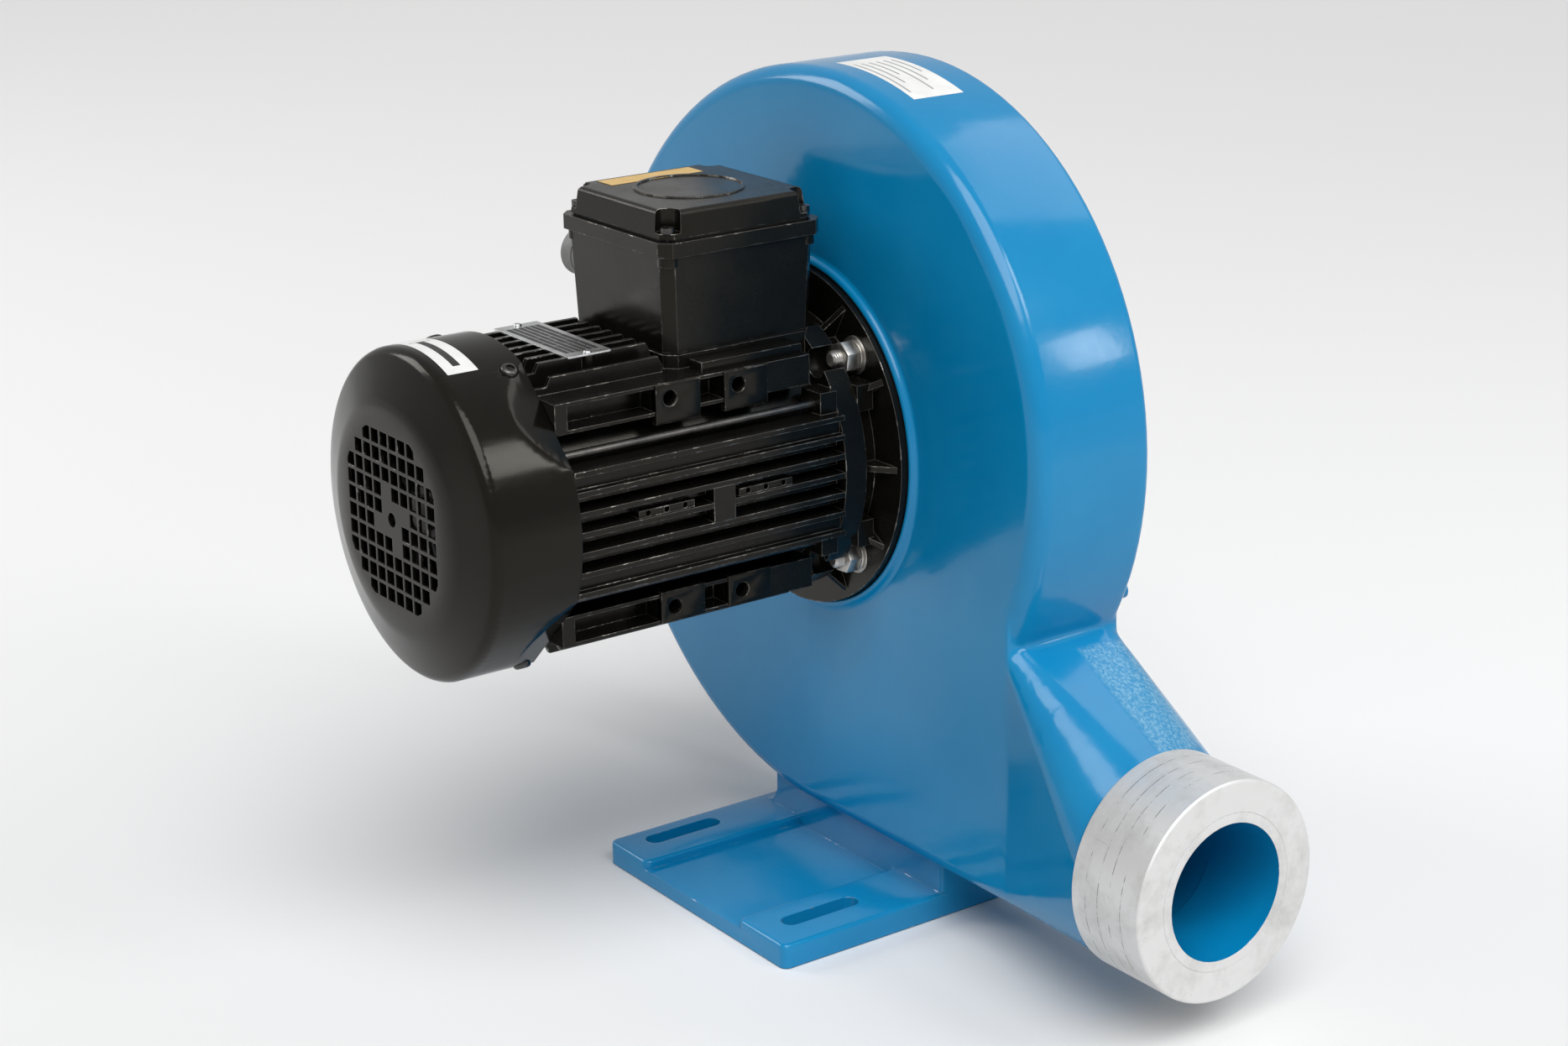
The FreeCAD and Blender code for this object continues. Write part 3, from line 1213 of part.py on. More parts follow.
def cowl_solid(label, wall):
    """The cowl's outer form, or its inside one wall smaller."""
    body = axis_body(label)
    radius = d.cowl_radius - wall
    face_end = d.cowl_end - wall
    edge = d.cowl_edge - (1 if wall.value else 0)
    revolve(body, (
        (ZERO, -edge), (radius, -edge), (radius, wall - d.cowl_shoulder),
        (d.cowl_face_radius - wall, -face_end), (ZERO, -face_end)))

    def shoulder(item):
        return (flat_at(item, 1, (wall - d.cowl_shoulder).value)
                and abs(item.BoundBox.XMax - radius.value) < 0.1)

    dress(body, "Fillet", d.cowl_round - wall / 2, shoulder)
    facet = new_sketch(body, "XY")
    facet.AttachmentOffset = Placement(Vector(), Rotation(Vector(0, 1, 0), 45))
    slope = sine(d.cowl_facet_tilt) / cosine(d.cowl_facet_tilt)
    beyond = d.cowl_radius + 6
    polygon(facet, (
        (d.cowl_facet - wall, 2 - d.cowl_edge), (beyond, 2 - d.cowl_edge),
        (beyond, 2 - d.cowl_edge - (beyond + wall - d.cowl_facet) / slope)))
    doc.recompute()
    before = body.Tip.Shape.Volume
    cut = body.newObject("PartDesign::Pocket", label + "_facet")
    cut.Profile = facet
    cut.Midplane = True
    bind(cut, "Length", d.cowl_radius * 2)
    check_cut(cut, before)
    polar(body, [cut], 4)
    return body


def fan_cowl():
    """The pressed cowl: dished end, four corner facets, thin wall and square holes."""
    outer = cowl_solid("cowl_outside", ZERO)
    inner = cowl_solid("cowl_inside", d.cowl_wall)
    shell = combine("Cut", "cowl_shell", [outer, inner])
    field = doc.addObject("Part::Feature", "cowl_holes")
    field.Shape = grille_holes()
    bind(field, "Placement.Base.z", d.axis_height)
    return combine("Cut", "fan_cowl", [shell, field])


def grille_holes():
    """The cowl's holes: square ones on a grid round a solid pinwheel, and the screws'."""
    pitch = d.grille_pitch.value
    half = d.grille_hole.value / 2
    field = d.grille_radius.value
    depth = (d.cowl_end - d.cowl_shoulder).value
    holes = []
    screws = []
    reach = int(field // pitch) + 0.5
    steps = [step - reach + 1 for step in range(int(2 * reach))]
    for column in steps:
        for line in steps:
            upright = abs(column) < 1 < abs(line) < 2 and column * line < 0
            level = abs(line) < 1 < abs(column) < 2 and column * line > 0
            solid = upright or level or max(abs(column), abs(line)) < 1
            if solid or math.hypot(column, line) * pitch > field:
                continue
            holes.append(Part.makeBox(
                2 * half, depth, 2 * half,
                Vector(column * pitch - half, -d.cowl_end.value - depth / 2,
                       line * pitch - half)))
    for turned_to in (d.cowl_screw_angle.value, 180 - d.cowl_screw_angle.value):
        out = Vector(math.cos(math.radians(turned_to)), 0, math.sin(math.radians(turned_to)))
        for side in (1, -1):
            screws.append(Part.makeCylinder(
                d.cowl_screw_radius.value + d.hole_gap.value, depth,
                out * side * (d.cowl_radius.value - depth / 2)
                - Vector(0, d.cowl_screw_place.value, 0), out * side))
    disc = Part.makeCylinder(field, depth, Vector(0, -d.cowl_end.value - depth / 2, 0),
                             Vector(0, 1, 0))
    centre = Part.makeCylinder(d.grille_centre.value, depth,
                               Vector(0, -d.cowl_end.value - depth / 2, 0), Vector(0, 1, 0))
    grille = Part.makeCompound(holes).common(disc)
    return Part.makeCompound([grille, centre] + screws)


BOX_BASE = d.axis_height + d.box_seat
BOX_RIM = BOX_BASE + d.box_height
BOX_TOP = BOX_RIM + d.rim_height
LID_BASE = BOX_TOP + d.gasket_thickness
LID_TOP = LID_BASE + d.lid_height
BOX_MIDDLE = d.box_length / 2 - d.box_back


def box_outline(sketch, half, corner):
    """The box's outline grown evenly from its seat to the given half width."""
    grown = half - d.box_half
    cut_corners(sketch, half, d.box_back + grown, d.box_length + grown * 2, corner)


def lid_circles(sketch, radius):
    """One circle at each lid screw."""
    inset = d.lid_screw_inset - (d.rim_half - d.box_half)
    box_corners(sketch, inset, radius)


def terminal_box_body():
    """The cast box with its rim, corner posts, wire hole and gland hole."""
    body = new_body("terminal_box_body")
    low = new_sketch(body, "XY", BOX_BASE)
    box_outline(low, d.box_half, d.box_corner)
    high = new_sketch(body, "XY", BOX_RIM)
    box_outline(high, d.box_half + d.box_draft, d.box_corner)
    wall = body.newObject("PartDesign::AdditiveLoft", "terminal_box_wall")
    wall.Profile = low
    wall.Sections = [high]
    wall.Ruled = True
    rim = new_sketch(body, "XY", BOX_RIM)
    box_outline(rim, d.rim_half, d.box_corner)
    pad(body, rim, d.rim_height)
    hollow = new_sketch(body, "XY", BOX_TOP)
    inner = d.box_half - d.box_wall
    rounded_box(hollow, -inner, inner, d.box_wall - d.box_back,
                d.box_length - d.box_back - d.box_wall, d.box_hollow_round)
    pocket(body, hollow, d.box_height + d.rim_height - d.box_wall, -1)
    posts = new_sketch(body, "XY", BOX_TOP)
    lid_circles(posts, d.lid_post_radius)
    pad(body, posts, d.lid_screw_depth + d.box_wall, -1)
    wires = new_sketch(body, "XY", BOX_BASE)
    circle(wires, 0, BOX_MIDDLE, d.wire_hole)
    box_corners(wires, d.box_screw_inset, d.box_screw_radius + d.hole_gap)
    pocket(body, wires, d.box_wall)
    screws = new_sketch(body, "XY", BOX_TOP)
    lid_circles(screws, d.lid_screw_radius + d.fit_gap)
    pocket(body, screws, d.lid_screw_depth + 1, -1)
    gland = new_sketch(body, "YZ", -(d.box_half + d.box_draft + 1))
    circle(gland, -d.gland_place, d.axis_height + d.gland_height, d.gland_thread + d.fit_gap)
    pocket(body, gland, d.box_wall * 2)
    face = new_sketch(body, "YZ", -(d.box_half + d.box_draft))
    circle(face, -d.gland_place, d.axis_height + d.gland_height, d.gland_radius + 1)
    circle(face, -d.gland_place, d.axis_height + d.gland_height, d.gland_thread + d.fit_gap)
    pad(body, face, d.box_draft + d.box_wall / 2)
    return body


def flat_gasket(label, level, half):
    """A flat gasket of the box's outline with the box's inner opening."""
    body = new_body(label)
    sketch = new_sketch(body, "XY", level)
    box_outline(sketch, half, d.box_corner)
    pad(body, sketch, d.gasket_thickness)
    return body


def box_gaskets():
    """The gaskets under the box and under the lid."""
    seat = flat_gasket("box_gasket", BOX_BASE - d.gasket_thickness, d.box_half - 1)
    holes = new_sketch(seat, "XY", BOX_BASE)
    circle(holes, 0, BOX_MIDDLE, d.wire_hole)
    box_corners(holes, d.box_screw_inset, d.box_screw_radius + d.hole_gap)
    pocket(seat, holes, d.gasket_thickness, -1)
    lid = flat_gasket("lid_gasket", BOX_TOP, d.lid_half - 1)
    hollow = new_sketch(lid, "XY", LID_BASE)
    inner = d.box_half - d.box_wall
    rounded_box(hollow, -inner, inner, d.box_wall - d.box_back,
                d.box_length - d.box_back - d.box_wall, d.lid_hollow_round)
    pocket(lid, hollow, d.gasket_thickness, -1)
    holes = new_sketch(lid, "XY", LID_BASE)
    lid_circles(holes, d.lid_screw_radius + d.hole_gap)
    pocket(lid, holes, d.gasket_thickness, -1)


def terminal_box_lid():
    """The lid with its drafted crown, raised ring and notches for the screws."""
    body = new_body("terminal_box_lid")
    crown = new_sketch(body, "XY", LID_BASE)
    box_outline(crown, d.lid_half, d.box_corner)
    bind(pad(body, crown, d.lid_height), "TaperAngle", -d.lid_taper)
    dress(body, "Fillet", d.lid_round, lambda edge: flat_at(edge, 2, LID_TOP.value))
    notches = new_sketch(body, "XY", LID_TOP)
    lid_circles(notches, d.lid_notch)
    pocket(body, notches, d.lid_height - d.lid_flange, -1)
    holes = new_sketch(body, "XY", LID_BASE + d.lid_flange)
    lid_circles(holes, d.lid_screw_radius + d.hole_gap)
    pocket(body, holes, d.lid_flange, -1)
    hollow = new_sketch(body, "XY", LID_BASE)
    half = d.lid_half - d.box_wall * 1.6
    spare = d.box_half - half
    rounded_box(hollow, -half, half, spare - d.box_back, d.box_length - d.box_back - spare,
                d.lid_hollow_round)
    pocket(body, hollow, d.lid_height - d.box_wall)
    raised = new_sketch(body, "XY", LID_TOP - 1)
    circle(raised, 0, BOX_MIDDLE, d.lid_ring_radius)
    circle(raised, 0, BOX_MIDDLE, d.lid_ring_radius - d.lid_ring_width)
    pad(body, raised, d.lid_ring_height + 1)
    return body


def box_screws():
    """The screws that hold the box down and the screws of its lid."""
    for label, circles, level, head, head_height, shank, length in (
            ("box_screws", box_corners, BOX_BASE + d.box_wall, d.lid_head_radius + 0.5,
             d.lid_head_height, d.box_screw_radius,
             d.box_wall + d.gasket_thickness + d.box_screw_depth),
            ("lid_screws", lid_circles, LID_BASE + d.lid_flange, d.lid_head_radius,
             d.lid_head_height, d.lid_screw_radius,
             d.lid_flange + d.gasket_thickness + d.lid_screw_depth)):
        body = new_body(label)
        for radius, height, toward in ((head, head_height, 1), (shank, length, -1)):
            sketch = new_sketch(body, "XY", level)
            if circles is box_corners:
                box_corners(sketch, d.box_screw_inset, radius)
            else:
                lid_circles(sketch, radius)
            pad(body, sketch, height, toward)
        slots = new_sketch(body, "XY", level + head_height)
        inset = d.box_screw_inset if circles is box_corners else (
            d.lid_screw_inset - (d.rim_half - d.box_half))
        for across in (1, -1):
            for y in (inset - d.box_back, d.box_length - d.box_back - inset):
                x = (d.box_half - inset) * across
                rectangle(slots, x - head * 0.7, x + head * 0.7, y - 0.5, y + 0.5)
        pocket(body, slots, head_height / 2, -1)


def terminal_parts():
    """The terminal board with its studs and links, inside the box."""
    floor = BOX_BASE + d.box_wall
    board = new_body("terminal_board")
    outline = new_sketch(board, "XY", floor)
    rectangle(outline, -d.board_half, d.board_half, BOX_MIDDLE - d.board_length / 2,
              BOX_MIDDLE + d.board_length / 2)
    pad(board, outline, d.board_height)
    passage = new_sketch(board, "XY", floor)
    rectangle(passage, -d.board_half + 6, d.board_half - 6,
              BOX_MIDDLE - d.board_length / 2 + 6, BOX_MIDDLE + d.board_length / 2 - 6)
    pocket(board, passage, d.board_height / 2)
    studs = new_body("terminal_studs")
    links = new_body("terminal_links")
    base = new_sketch(studs, "XY", floor + d.board_height)
    nuts = new_sketch(studs, "XY", floor + d.board_height + d.plate_thick)
    bars = new_sketch(links, "XY", floor + d.board_height)
    for across in (-1, 0, 1):
        x = d.terminal_pitch * across
        for y in (BOX_MIDDLE - d.terminal_pitch / 2, BOX_MIDDLE + d.terminal_pitch / 2):
            circle(base, x, y, d.terminal_radius)
            hexagon(nuts, x, y, d.terminal_radius * 3.2)
            circle(bars, x, y, d.terminal_radius + d.hole_gap)
        rectangle(bars, x - 4.5, x + 4.5, BOX_MIDDLE - d.terminal_pitch / 2 - 5,
                  BOX_MIDDLE + d.terminal_pitch / 2 + 5)
    pad(studs, base, d.terminal_height)
    pad(studs, nuts, d.terminal_radius * 1.6)
    pad(links, bars, d.plate_thick)


def gland_body(label):
    """A body whose own Y axis runs through the gland, out of the box."""
    body = new_body(label, d.axis_height + d.gland_height)
    body.Placement = Placement(Vector(), Rotation(Vector(0, 0, 1), 90))
    bind(body, "Placement.Base.x", -(d.box_half + d.box_draft + d.seat_gap))
    bind(body, "Placement.Base.y", -d.gland_place)
    return body


def cable_gland():
    """The gland with its dome nut, its lock nut in the box and its blanking plug."""
    gland = gland_body("cable_gland")
    wall = d.box_draft + d.box_wall + d.seat_gap
    dome = d.gland_length
    body_end = dome / 3
    revolve(gland, (
        (d.gland_bore, -wall - 6), (d.gland_thread, -wall - 6), (d.gland_thread, ZERO),
        (d.gland_radius, ZERO), (d.gland_radius, body_end), (d.gland_radius - 1, body_end),
        (d.gland_radius - 1, body_end + 1), (d.gland_radius, body_end + 1),
        (d.gland_radius, dome - 4), (d.gland_radius - 4, dome), (d.gland_bore, dome)))
    lock = gland_body("gland_lock_nut")
    sketch = new_sketch(lock, "XZ", -wall - 0.2)
    hexagon(sketch, 0, 0, d.gland_thread * 2.4)
    circle(sketch, 0, 0, d.gland_thread + d.fit_gap)
    pad(lock, sketch, 4, -1)
    plug = gland_body("gland_plug")
    sketch = new_sketch(plug, "XZ", dome + 1)
    circle(sketch, 0, 0, d.gland_bore - d.fit_gap)
    pad(plug, sketch, 12, -1)


def rating_plate():
    """The blank rating plate on the fins and its two rivets."""
    level = d.axis_height + d.top_fin_reach
    plate = new_body("rating_plate")
    sketch = new_sketch(plate, "XY", level)
    rounded_box(sketch, -d.plate_half, d.plate_half, -d.plate_middle - d.plate_length / 2,
                d.plate_length / 2 - d.plate_middle, d.plate_thick)
    pad(plate, sketch, d.plate_thick)
    rivets = new_body("plate_rivets")
    heads = new_sketch(rivets, "XY", level + d.plate_thick)
    shanks = new_sketch(rivets, "XY", level + d.plate_thick)
    holes = new_sketch(plate, "XY", level)
    for across in (1, -1):
        circle(holes, d.plate_rivet * across, -d.plate_middle, d.rivet_radius + d.fit_gap)
        circle(heads, d.plate_rivet * across, -d.plate_middle, d.rivet_radius * 2)
        circle(shanks, d.plate_rivet * across, -d.plate_middle, d.rivet_radius)
    pocket(plate, holes, d.plate_thick)
    pad(rivets, heads, d.rivet_radius)
    pad(rivets, shanks, d.rivet_length + d.plate_thick, -1)
    level = d.rivet_radius
    dress(rivets, "Fillet", d.rivet_radius * 0.9, lambda edge: flat_at(
        edge, 2, (d.axis_height + d.top_fin_reach + d.plate_thick + level).value))


def bearing(prefix, inboard):
    """One ball bearing: two grooved rings, its balls and their cage."""
    middle = -(inboard + d.bearing_width / 2)
    pitch = (d.bearing_outer + d.bearing_inner) / 2
    half = d.bearing_width / 2
    groove = d.ball_radius + d.ball_gap
    for label, inner, outer in (
            (prefix + "_outer_race", d.bearing_outer - d.race_step, d.bearing_outer),
            (prefix + "_inner_race", d.bearing_inner, d.bearing_inner + d.race_step)):
        race = ring(label, inner, outer, middle - half, d.bearing_width)
        cut = new_sketch(race, "YZ")
        circle(cut, middle, pitch, groove)
        turn(race, cut, "H_Axis", cut=True)
    balls = axis_body(prefix + "_balls")
    ball = new_sketch(balls, "XY")
    top = ball.addGeometry(Part.ArcOfCircle(
        Part.Circle(Vector(pitch.value, middle.value, 0), Vector(0, 0, 1),
                    d.ball_radius.value), -math.pi / 2, math.pi / 2), False)
    line = ball.addGeometry(Part.LineSegment(
        Vector(pitch.value, (middle + d.ball_radius).value, 0),
        Vector(pitch.value, (middle - d.ball_radius).value, 0)), False)
    held = places(top, 3, pitch, middle)
    held.append((Sketcher.Constraint("Radius", top, d.ball_radius.value), d.ball_radius))
    for words in (("Coincident", top, 2, line, 1), ("Coincident", line, 2, top, 1),
                  ("Vertical", line), ("PointOnObject", top, 3, line)):
        held.append((Sketcher.Constraint(*words), None))
    hold(ball, held)
    sphere = balls.newObject("PartDesign::Revolution", "ball")
    sphere.Profile = ball
    sphere.ReferenceAxis = (ball, ["Edge2"])
    sphere.Angle = 360
    polar(balls, [sphere], d.ball_count)
    cage = ring(prefix + "_cage", pitch - d.cage_thickness / 2, pitch + d.cage_thickness / 2,
                middle - d.cage_width / 2, d.cage_width)
    window = new_sketch(cage, "YZ", pitch - d.cage_thickness)
    circle(window, middle, ZERO, groove)
    polar(cage, [pocket(cage, window, d.cage_thickness * 2)], d.ball_count)


def stator():
    """The stator core with its slots and end windings, and the seal and spring."""
    front = -d.core_front
    back = front - d.core_length
    bore = d.rotor_radius + d.air_gap
    core = ring("stator_core", bore, d.frame_bore - d.fit_gap, back, d.core_length)
    slot = new_sketch(core, "XZ", back)
    rectangle(slot, bore + 3, d.winding_radius - 3, -d.slot_half, d.slot_half)
    polar(core, [pocket(core, slot, d.core_length)], d.stator_slots)
    windings = axis_body("stator_windings")
    for start in (front, back - d.winding_length):
        sketch = new_sketch(windings, "XZ", start)
        circle(sketch, 0, 0, d.winding_radius)
        circle(sketch, 0, 0, bore + 3)
        pad(windings, sketch, d.winding_length)
    bars = new_sketch(windings, "XZ", back)
    rectangle(bars, bore + 3 + d.slot_gap, d.winding_radius - 3 - d.slot_gap,
              d.slot_gap - d.slot_half, d.slot_half - d.slot_gap)
    polar(windings, [pad(windings, bars, d.core_length)], d.stator_slots)
    ring("shaft_seal", d.sleeve_radius + d.shaft_gap, d.seal_radius - d.fit_gap,
         FLANGE_REGISTER + d.seat_gap * 3, d.seal_length)
    ring("preload_spring", d.bearing_outer - d.race_step, d.bearing_outer - d.seat_gap,
         -d.rear_bearing - d.bearing_width - d.spring_thickness, d.spring_thickness)


def rotor():
    """The shaft with its key seat and end thread, and the core pressed on it."""
    shaft = axis_body("motor_shaft")
    shoulder = d.spacer_start
    seat = d.bearing_inner
    revolve(shaft, (
        (ZERO, d.shaft_end), (d.shaft_radius - 1, d.shaft_end),
        (d.shaft_radius, d.shaft_end - 1), (d.shaft_radius, shoulder), (seat, shoulder),
        (seat, BEARING_IN), (d.shaft_middle_radius, BEARING_IN),
        (d.shaft_middle_radius, -d.rear_bearing), (seat, -d.rear_bearing),
        (seat, SPRING_SEAT + 0.5), (d.fan_seat_radius, SPRING_SEAT + 0.5),
        (d.fan_seat_radius, -d.shaft_tail), (ZERO, -d.shaft_tail)))
    keyway = new_sketch(shaft, "XY", d.shaft_radius - d.key_seat)
    half = d.key_width / 2
    end = d.shaft_end - 4
    rounded(keyway, ((0, end - half), (0, end - d.key_length + half)), half + d.fit_gap)
    pocket(shaft, keyway, d.key_seat * 2)
    thread = new_sketch(shaft, "XZ", d.shaft_end)
    circle(thread, 0, 0, d.impeller_bolt + d.fit_gap)
    pocket(shaft, thread, d.bolt_depth + 2, -1)
    key = axis_body("impeller_key")
    outline = new_sketch(key, "XY", d.shaft_radius - d.key_seat)
    rounded(outline, ((0, end - half), (0, end - d.key_length + half)), half)
    pad(key, outline, d.key_height)
    core = ring("rotor_core", d.shaft_middle_radius + d.fit_gap, d.rotor_radius,
                -d.core_front - d.core_length, d.core_length)
    for start in (-d.core_front, -d.core_front - d.core_length - d.end_ring_length):
        end_ring = new_sketch(core, "XZ", start)
        circle(end_ring, 0, 0, d.rotor_radius - 2)
        circle(end_ring, 0, 0, d.rotor_radius * 0.6)
        pad(core, end_ring, d.end_ring_length)
    ring("spacer_sleeve", d.shaft_radius + d.fit_gap, d.sleeve_radius, shoulder,
         d.hub_front - shoulder)
    hub_end = d.hub_front + d.hub_length
    ring("impeller_washer", d.impeller_bolt + d.hole_gap, d.impeller_washer,
         hub_end, d.washer_thickness)
    bolt = axis_body("impeller_bolt")
    head = new_sketch(bolt, "XZ", hub_end + d.washer_thickness)
    hexagon(head, 0, 0, d.bolt_head * 2)
    pad(bolt, head, d.bolt_head * 0.8)
    shank = new_sketch(bolt, "XZ", hub_end + d.washer_thickness)
    circle(shank, 0, 0, d.impeller_bolt)
    pad(bolt, shank, d.bolt_depth, -1)


BLADE_BASE = d.impeller_back + d.plate_thickness


def blade_outline(sketch):
    """A backward-curved blade of even thickness: two arcs of one centre and two ends."""
    inner, outer = d.blade_root.value, d.impeller_radius.value - d.blade_inset.value
    curve = d.blade_curve.value
    thick = d.blade_thickness.value
    lean = math.radians(d.blade_lean.value)
    centre = Vector(inner + curve * math.sin(lean), -curve * math.cos(lean), 0)
    reach = centre.Length
    start = math.atan2(-centre.y, inner - centre.x)
    swing = math.acos((reach ** 2 + curve ** 2 - outer ** 2) / (2 * reach * curve))
    end = math.atan2(-centre.y, -centre.x) - swing
    arcs = []
    for radius in (curve, curve - thick):
        ring_line = Part.Circle(centre, Vector(0, 0, 1), radius)
        arcs.append(Part.ArcOfCircle(ring_line, end, start))
    first, second = arcs
    ends = [Part.LineSegment(first.EndPoint, second.EndPoint),
            Part.LineSegment(second.StartPoint, first.StartPoint)]
    sketch.addGeometry(arcs + ends, False)
    held = [(Sketcher.Constraint(*words), None) for words in (
        ("Coincident", 0, 2, 2, 1), ("Coincident", 2, 2, 1, 2),
        ("Coincident", 1, 1, 3, 1), ("Coincident", 3, 2, 0, 1), ("Coincident", 0, 3, 1, 3))]
    held += places(0, 3, d.blade_root + d.blade_curve * sine(d.blade_lean),
                   -(d.blade_curve * cosine(d.blade_lean)))
    held.append((Sketcher.Constraint("Radius", 0, curve), d.blade_curve))
    held.append((Sketcher.Constraint("Radius", 1, curve - thick),
                 d.blade_curve - d.blade_thickness))
    hold(sketch, held)


def impeller():
    """The closed impeller: backplate and hub, curved blades and the shroud."""
    body = axis_body("impeller")
    revolve(body, (
        (ZERO, d.hub_front), (d.hub_radius, d.hub_front), (d.hub_radius, d.impeller_back),
        (d.impeller_radius, d.impeller_back), (d.impeller_radius, BLADE_BASE),
        (d.hub_radius + 4, BLADE_BASE), (d.hub_radius, BLADE_BASE + 4),
        (d.hub_radius, d.hub_front + d.hub_length), (ZERO, d.hub_front + d.hub_length)))
    sketch = new_sketch(body, "XZ", BLADE_BASE - 1)
    blade_outline(sketch)
    polar(body, [pad(body, sketch, d.eye_width + 1)], d.blade_count)
    fall = d.eye_width - d.exit_width
    span = d.impeller_radius - d.eye_radius
    beyond = d.impeller_radius + 2
    revolve(body, (
        (d.eye_radius, EYE_START), (beyond, EYE_START - fall * (span + 2) / span),
        (beyond, EYE_START + 2), (d.eye_radius, EYE_START + 2)), cut=True)
    lap = 0.2
    revolve(body, (
        (d.eye_radius, EYE_START - lap), (d.impeller_radius, EYE_START - fall - lap),
        (d.impeller_radius, EYE_START - fall + d.shroud_thickness),
        (d.eye_radius + d.shroud_thickness, EYE_START + d.shroud_thickness),
        (d.eye_radius + d.shroud_thickness, EYE_END), (d.eye_radius, EYE_END)))
    bore = new_sketch(body, "XZ", d.hub_front)
    circle(bore, 0, 0, d.shaft_radius + d.fit_gap)
    pocket(body, bore, d.hub_length)
    keyway = new_sketch(body, "XZ", d.hub_front)
    half = d.key_width / 2 + d.fit_gap
    rectangle(keyway, -half, half, d.shaft_radius / 2,
              d.shaft_radius - d.key_seat + d.key_height + d.seat_gap)
    pocket(body, keyway, d.hub_length)
    return body


def cooling_fan():
    """The motor's fan: hub, disc and straight blades, and the clip that holds it."""
    body = axis_body("cooling_fan")
    hub = d.fan_seat_radius + d.fan_hub_wall
    back = -d.fan_front - d.fan_disc
    hub_end = -d.fan_front - d.fan_width
    revolve(body, (
        (d.fan_seat_radius + d.fit_gap, -d.fan_front), (d.fan_radius, -d.fan_front),
        (d.fan_radius, back), (hub, back), (hub, hub_end),
        (d.fan_seat_radius + d.fit_gap, hub_end)))
    blade = new_sketch(body, "XY", -(d.fan_disc / 2))
    polygon(blade, ((hub - 1, back + 1), (d.fan_radius - 1, back + 1),
                    (d.fan_radius - 1, hub_end + 5), (hub - 1, hub_end)))
    polar(body, [pad(body, blade, d.fan_disc)], d.fan_blades)
    ring("fan_clip", d.fan_seat_radius + d.fit_gap, d.fan_seat_radius + 4,
         hub_end - d.fan_clip_width, d.fan_clip_width)
    return body


scroll_housing()
outlet_collar()
inlet_cover()
cover_gasket()
bolt_circle("cover_screws", COVER_BACK, d.cover_screw_radius,
            d.cover_thickness + d.gasket_thickness + d.inlet_wall - 1.5, d.cover_head_radius,
            d.cover_head_height, d.cover_screw_circle, 8, 5.0)
drive_end_shield()
motor_frame()
rear_end_shield()
tie_bolts()
flange_hardware()
fan_cowl()
cowl_screws()
terminal_box_body()
box_gaskets()
terminal_box_lid()
box_screws()
terminal_parts()
cable_gland()
rating_plate()
bearing("front", d.front_bearing)
bearing("rear", d.rear_bearing)
stator()
rotor()
impeller()
cooling_fan()


def check_and_write():
    """Every object computed, every sub-part one valid shape, then one file each."""
    doc.recompute()
    for item in doc.Objects:
        if "Invalid" in item.State or "Error" in item.State:
            raise ValueError(f"{item.Name} failed: {item.State}")
    for node in NODES:
        if node.Shape.isNull() or not node.Shape.isValid():
            raise ValueError(f"{node.Label} has no valid shape")
    os.makedirs("parts", exist_ok=True)
    for node in NODES:
        node.Shape.exportStep(f"parts/{node.Label}.step")


check_and_write()
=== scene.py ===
import json
import logging
import math
from dataclasses import dataclass
from enum import Enum

import bmesh
import bpy
from mathutils import Matrix, Vector


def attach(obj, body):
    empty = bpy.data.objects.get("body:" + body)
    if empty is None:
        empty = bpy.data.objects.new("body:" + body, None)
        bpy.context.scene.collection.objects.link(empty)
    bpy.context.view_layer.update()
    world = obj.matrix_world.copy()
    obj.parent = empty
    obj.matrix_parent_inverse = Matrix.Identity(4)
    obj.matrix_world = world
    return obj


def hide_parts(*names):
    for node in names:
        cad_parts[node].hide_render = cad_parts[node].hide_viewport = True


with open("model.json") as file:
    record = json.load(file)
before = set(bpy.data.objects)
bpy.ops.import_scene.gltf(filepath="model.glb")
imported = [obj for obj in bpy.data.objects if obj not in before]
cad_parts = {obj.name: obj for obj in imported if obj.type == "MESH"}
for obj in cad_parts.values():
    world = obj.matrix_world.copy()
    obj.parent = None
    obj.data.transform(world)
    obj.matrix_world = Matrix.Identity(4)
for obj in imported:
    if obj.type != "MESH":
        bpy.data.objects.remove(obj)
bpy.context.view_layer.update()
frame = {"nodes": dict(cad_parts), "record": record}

# A radial blower with a blue cast casing and a black finned motor.
# Metres, in the frame of the solids: +Z up, the shaft along Y, the outlet toward +X.

LOG = logging.getLogger("blower")

Mesh = bmesh.types.BMesh
Socket = bpy.types.NodeSocket
Material = bpy.types.Material
Finishes = dict[str, Material]
Colour = tuple[float, float, float, float]
Pair = tuple[float, float]
Point = tuple[float, float, float]
Profile = tuple[Pair, ...]
Box = tuple[Point, Point]
Panel = tuple[str, Point, Point, Pair, float]

AXIS = Vector((0.0, 0.0, 0.27))  # a point on the shaft
WAY_X = Vector((1.0, 0.0, 0.0))
WAY_Y = Vector((0.0, 1.0, 0.0))

MERGE = 0.000002  # points this close become one
OFF_PLANE = 0.00005  # how far a point may lie off a plane and still count to it
SLACK = 0.0001  # slack where places are compared
EDGE_ANGLE = 0.8  # faces that meet at this angle or more, in radians, make an edge
FLAT_ANGLE = 0.01  # faces that meet at a smaller angle are one

BEVEL_SAMPLES = 4
EDGE_COSINES = (0.99, 0.8)  # from no edge to an edge: plain against rounded normal
FINE_EDGE = 0.0003  # rounding of small pieces' edges
MIX_FACTOR, MIX_FIRST, MIX_SECOND, MIX_RESULT = 0, 6, 7, 2  # a Mix node's colour sockets


class Body(Enum):
    """The bodies that added pieces ride on."""

    CASING = "casing"


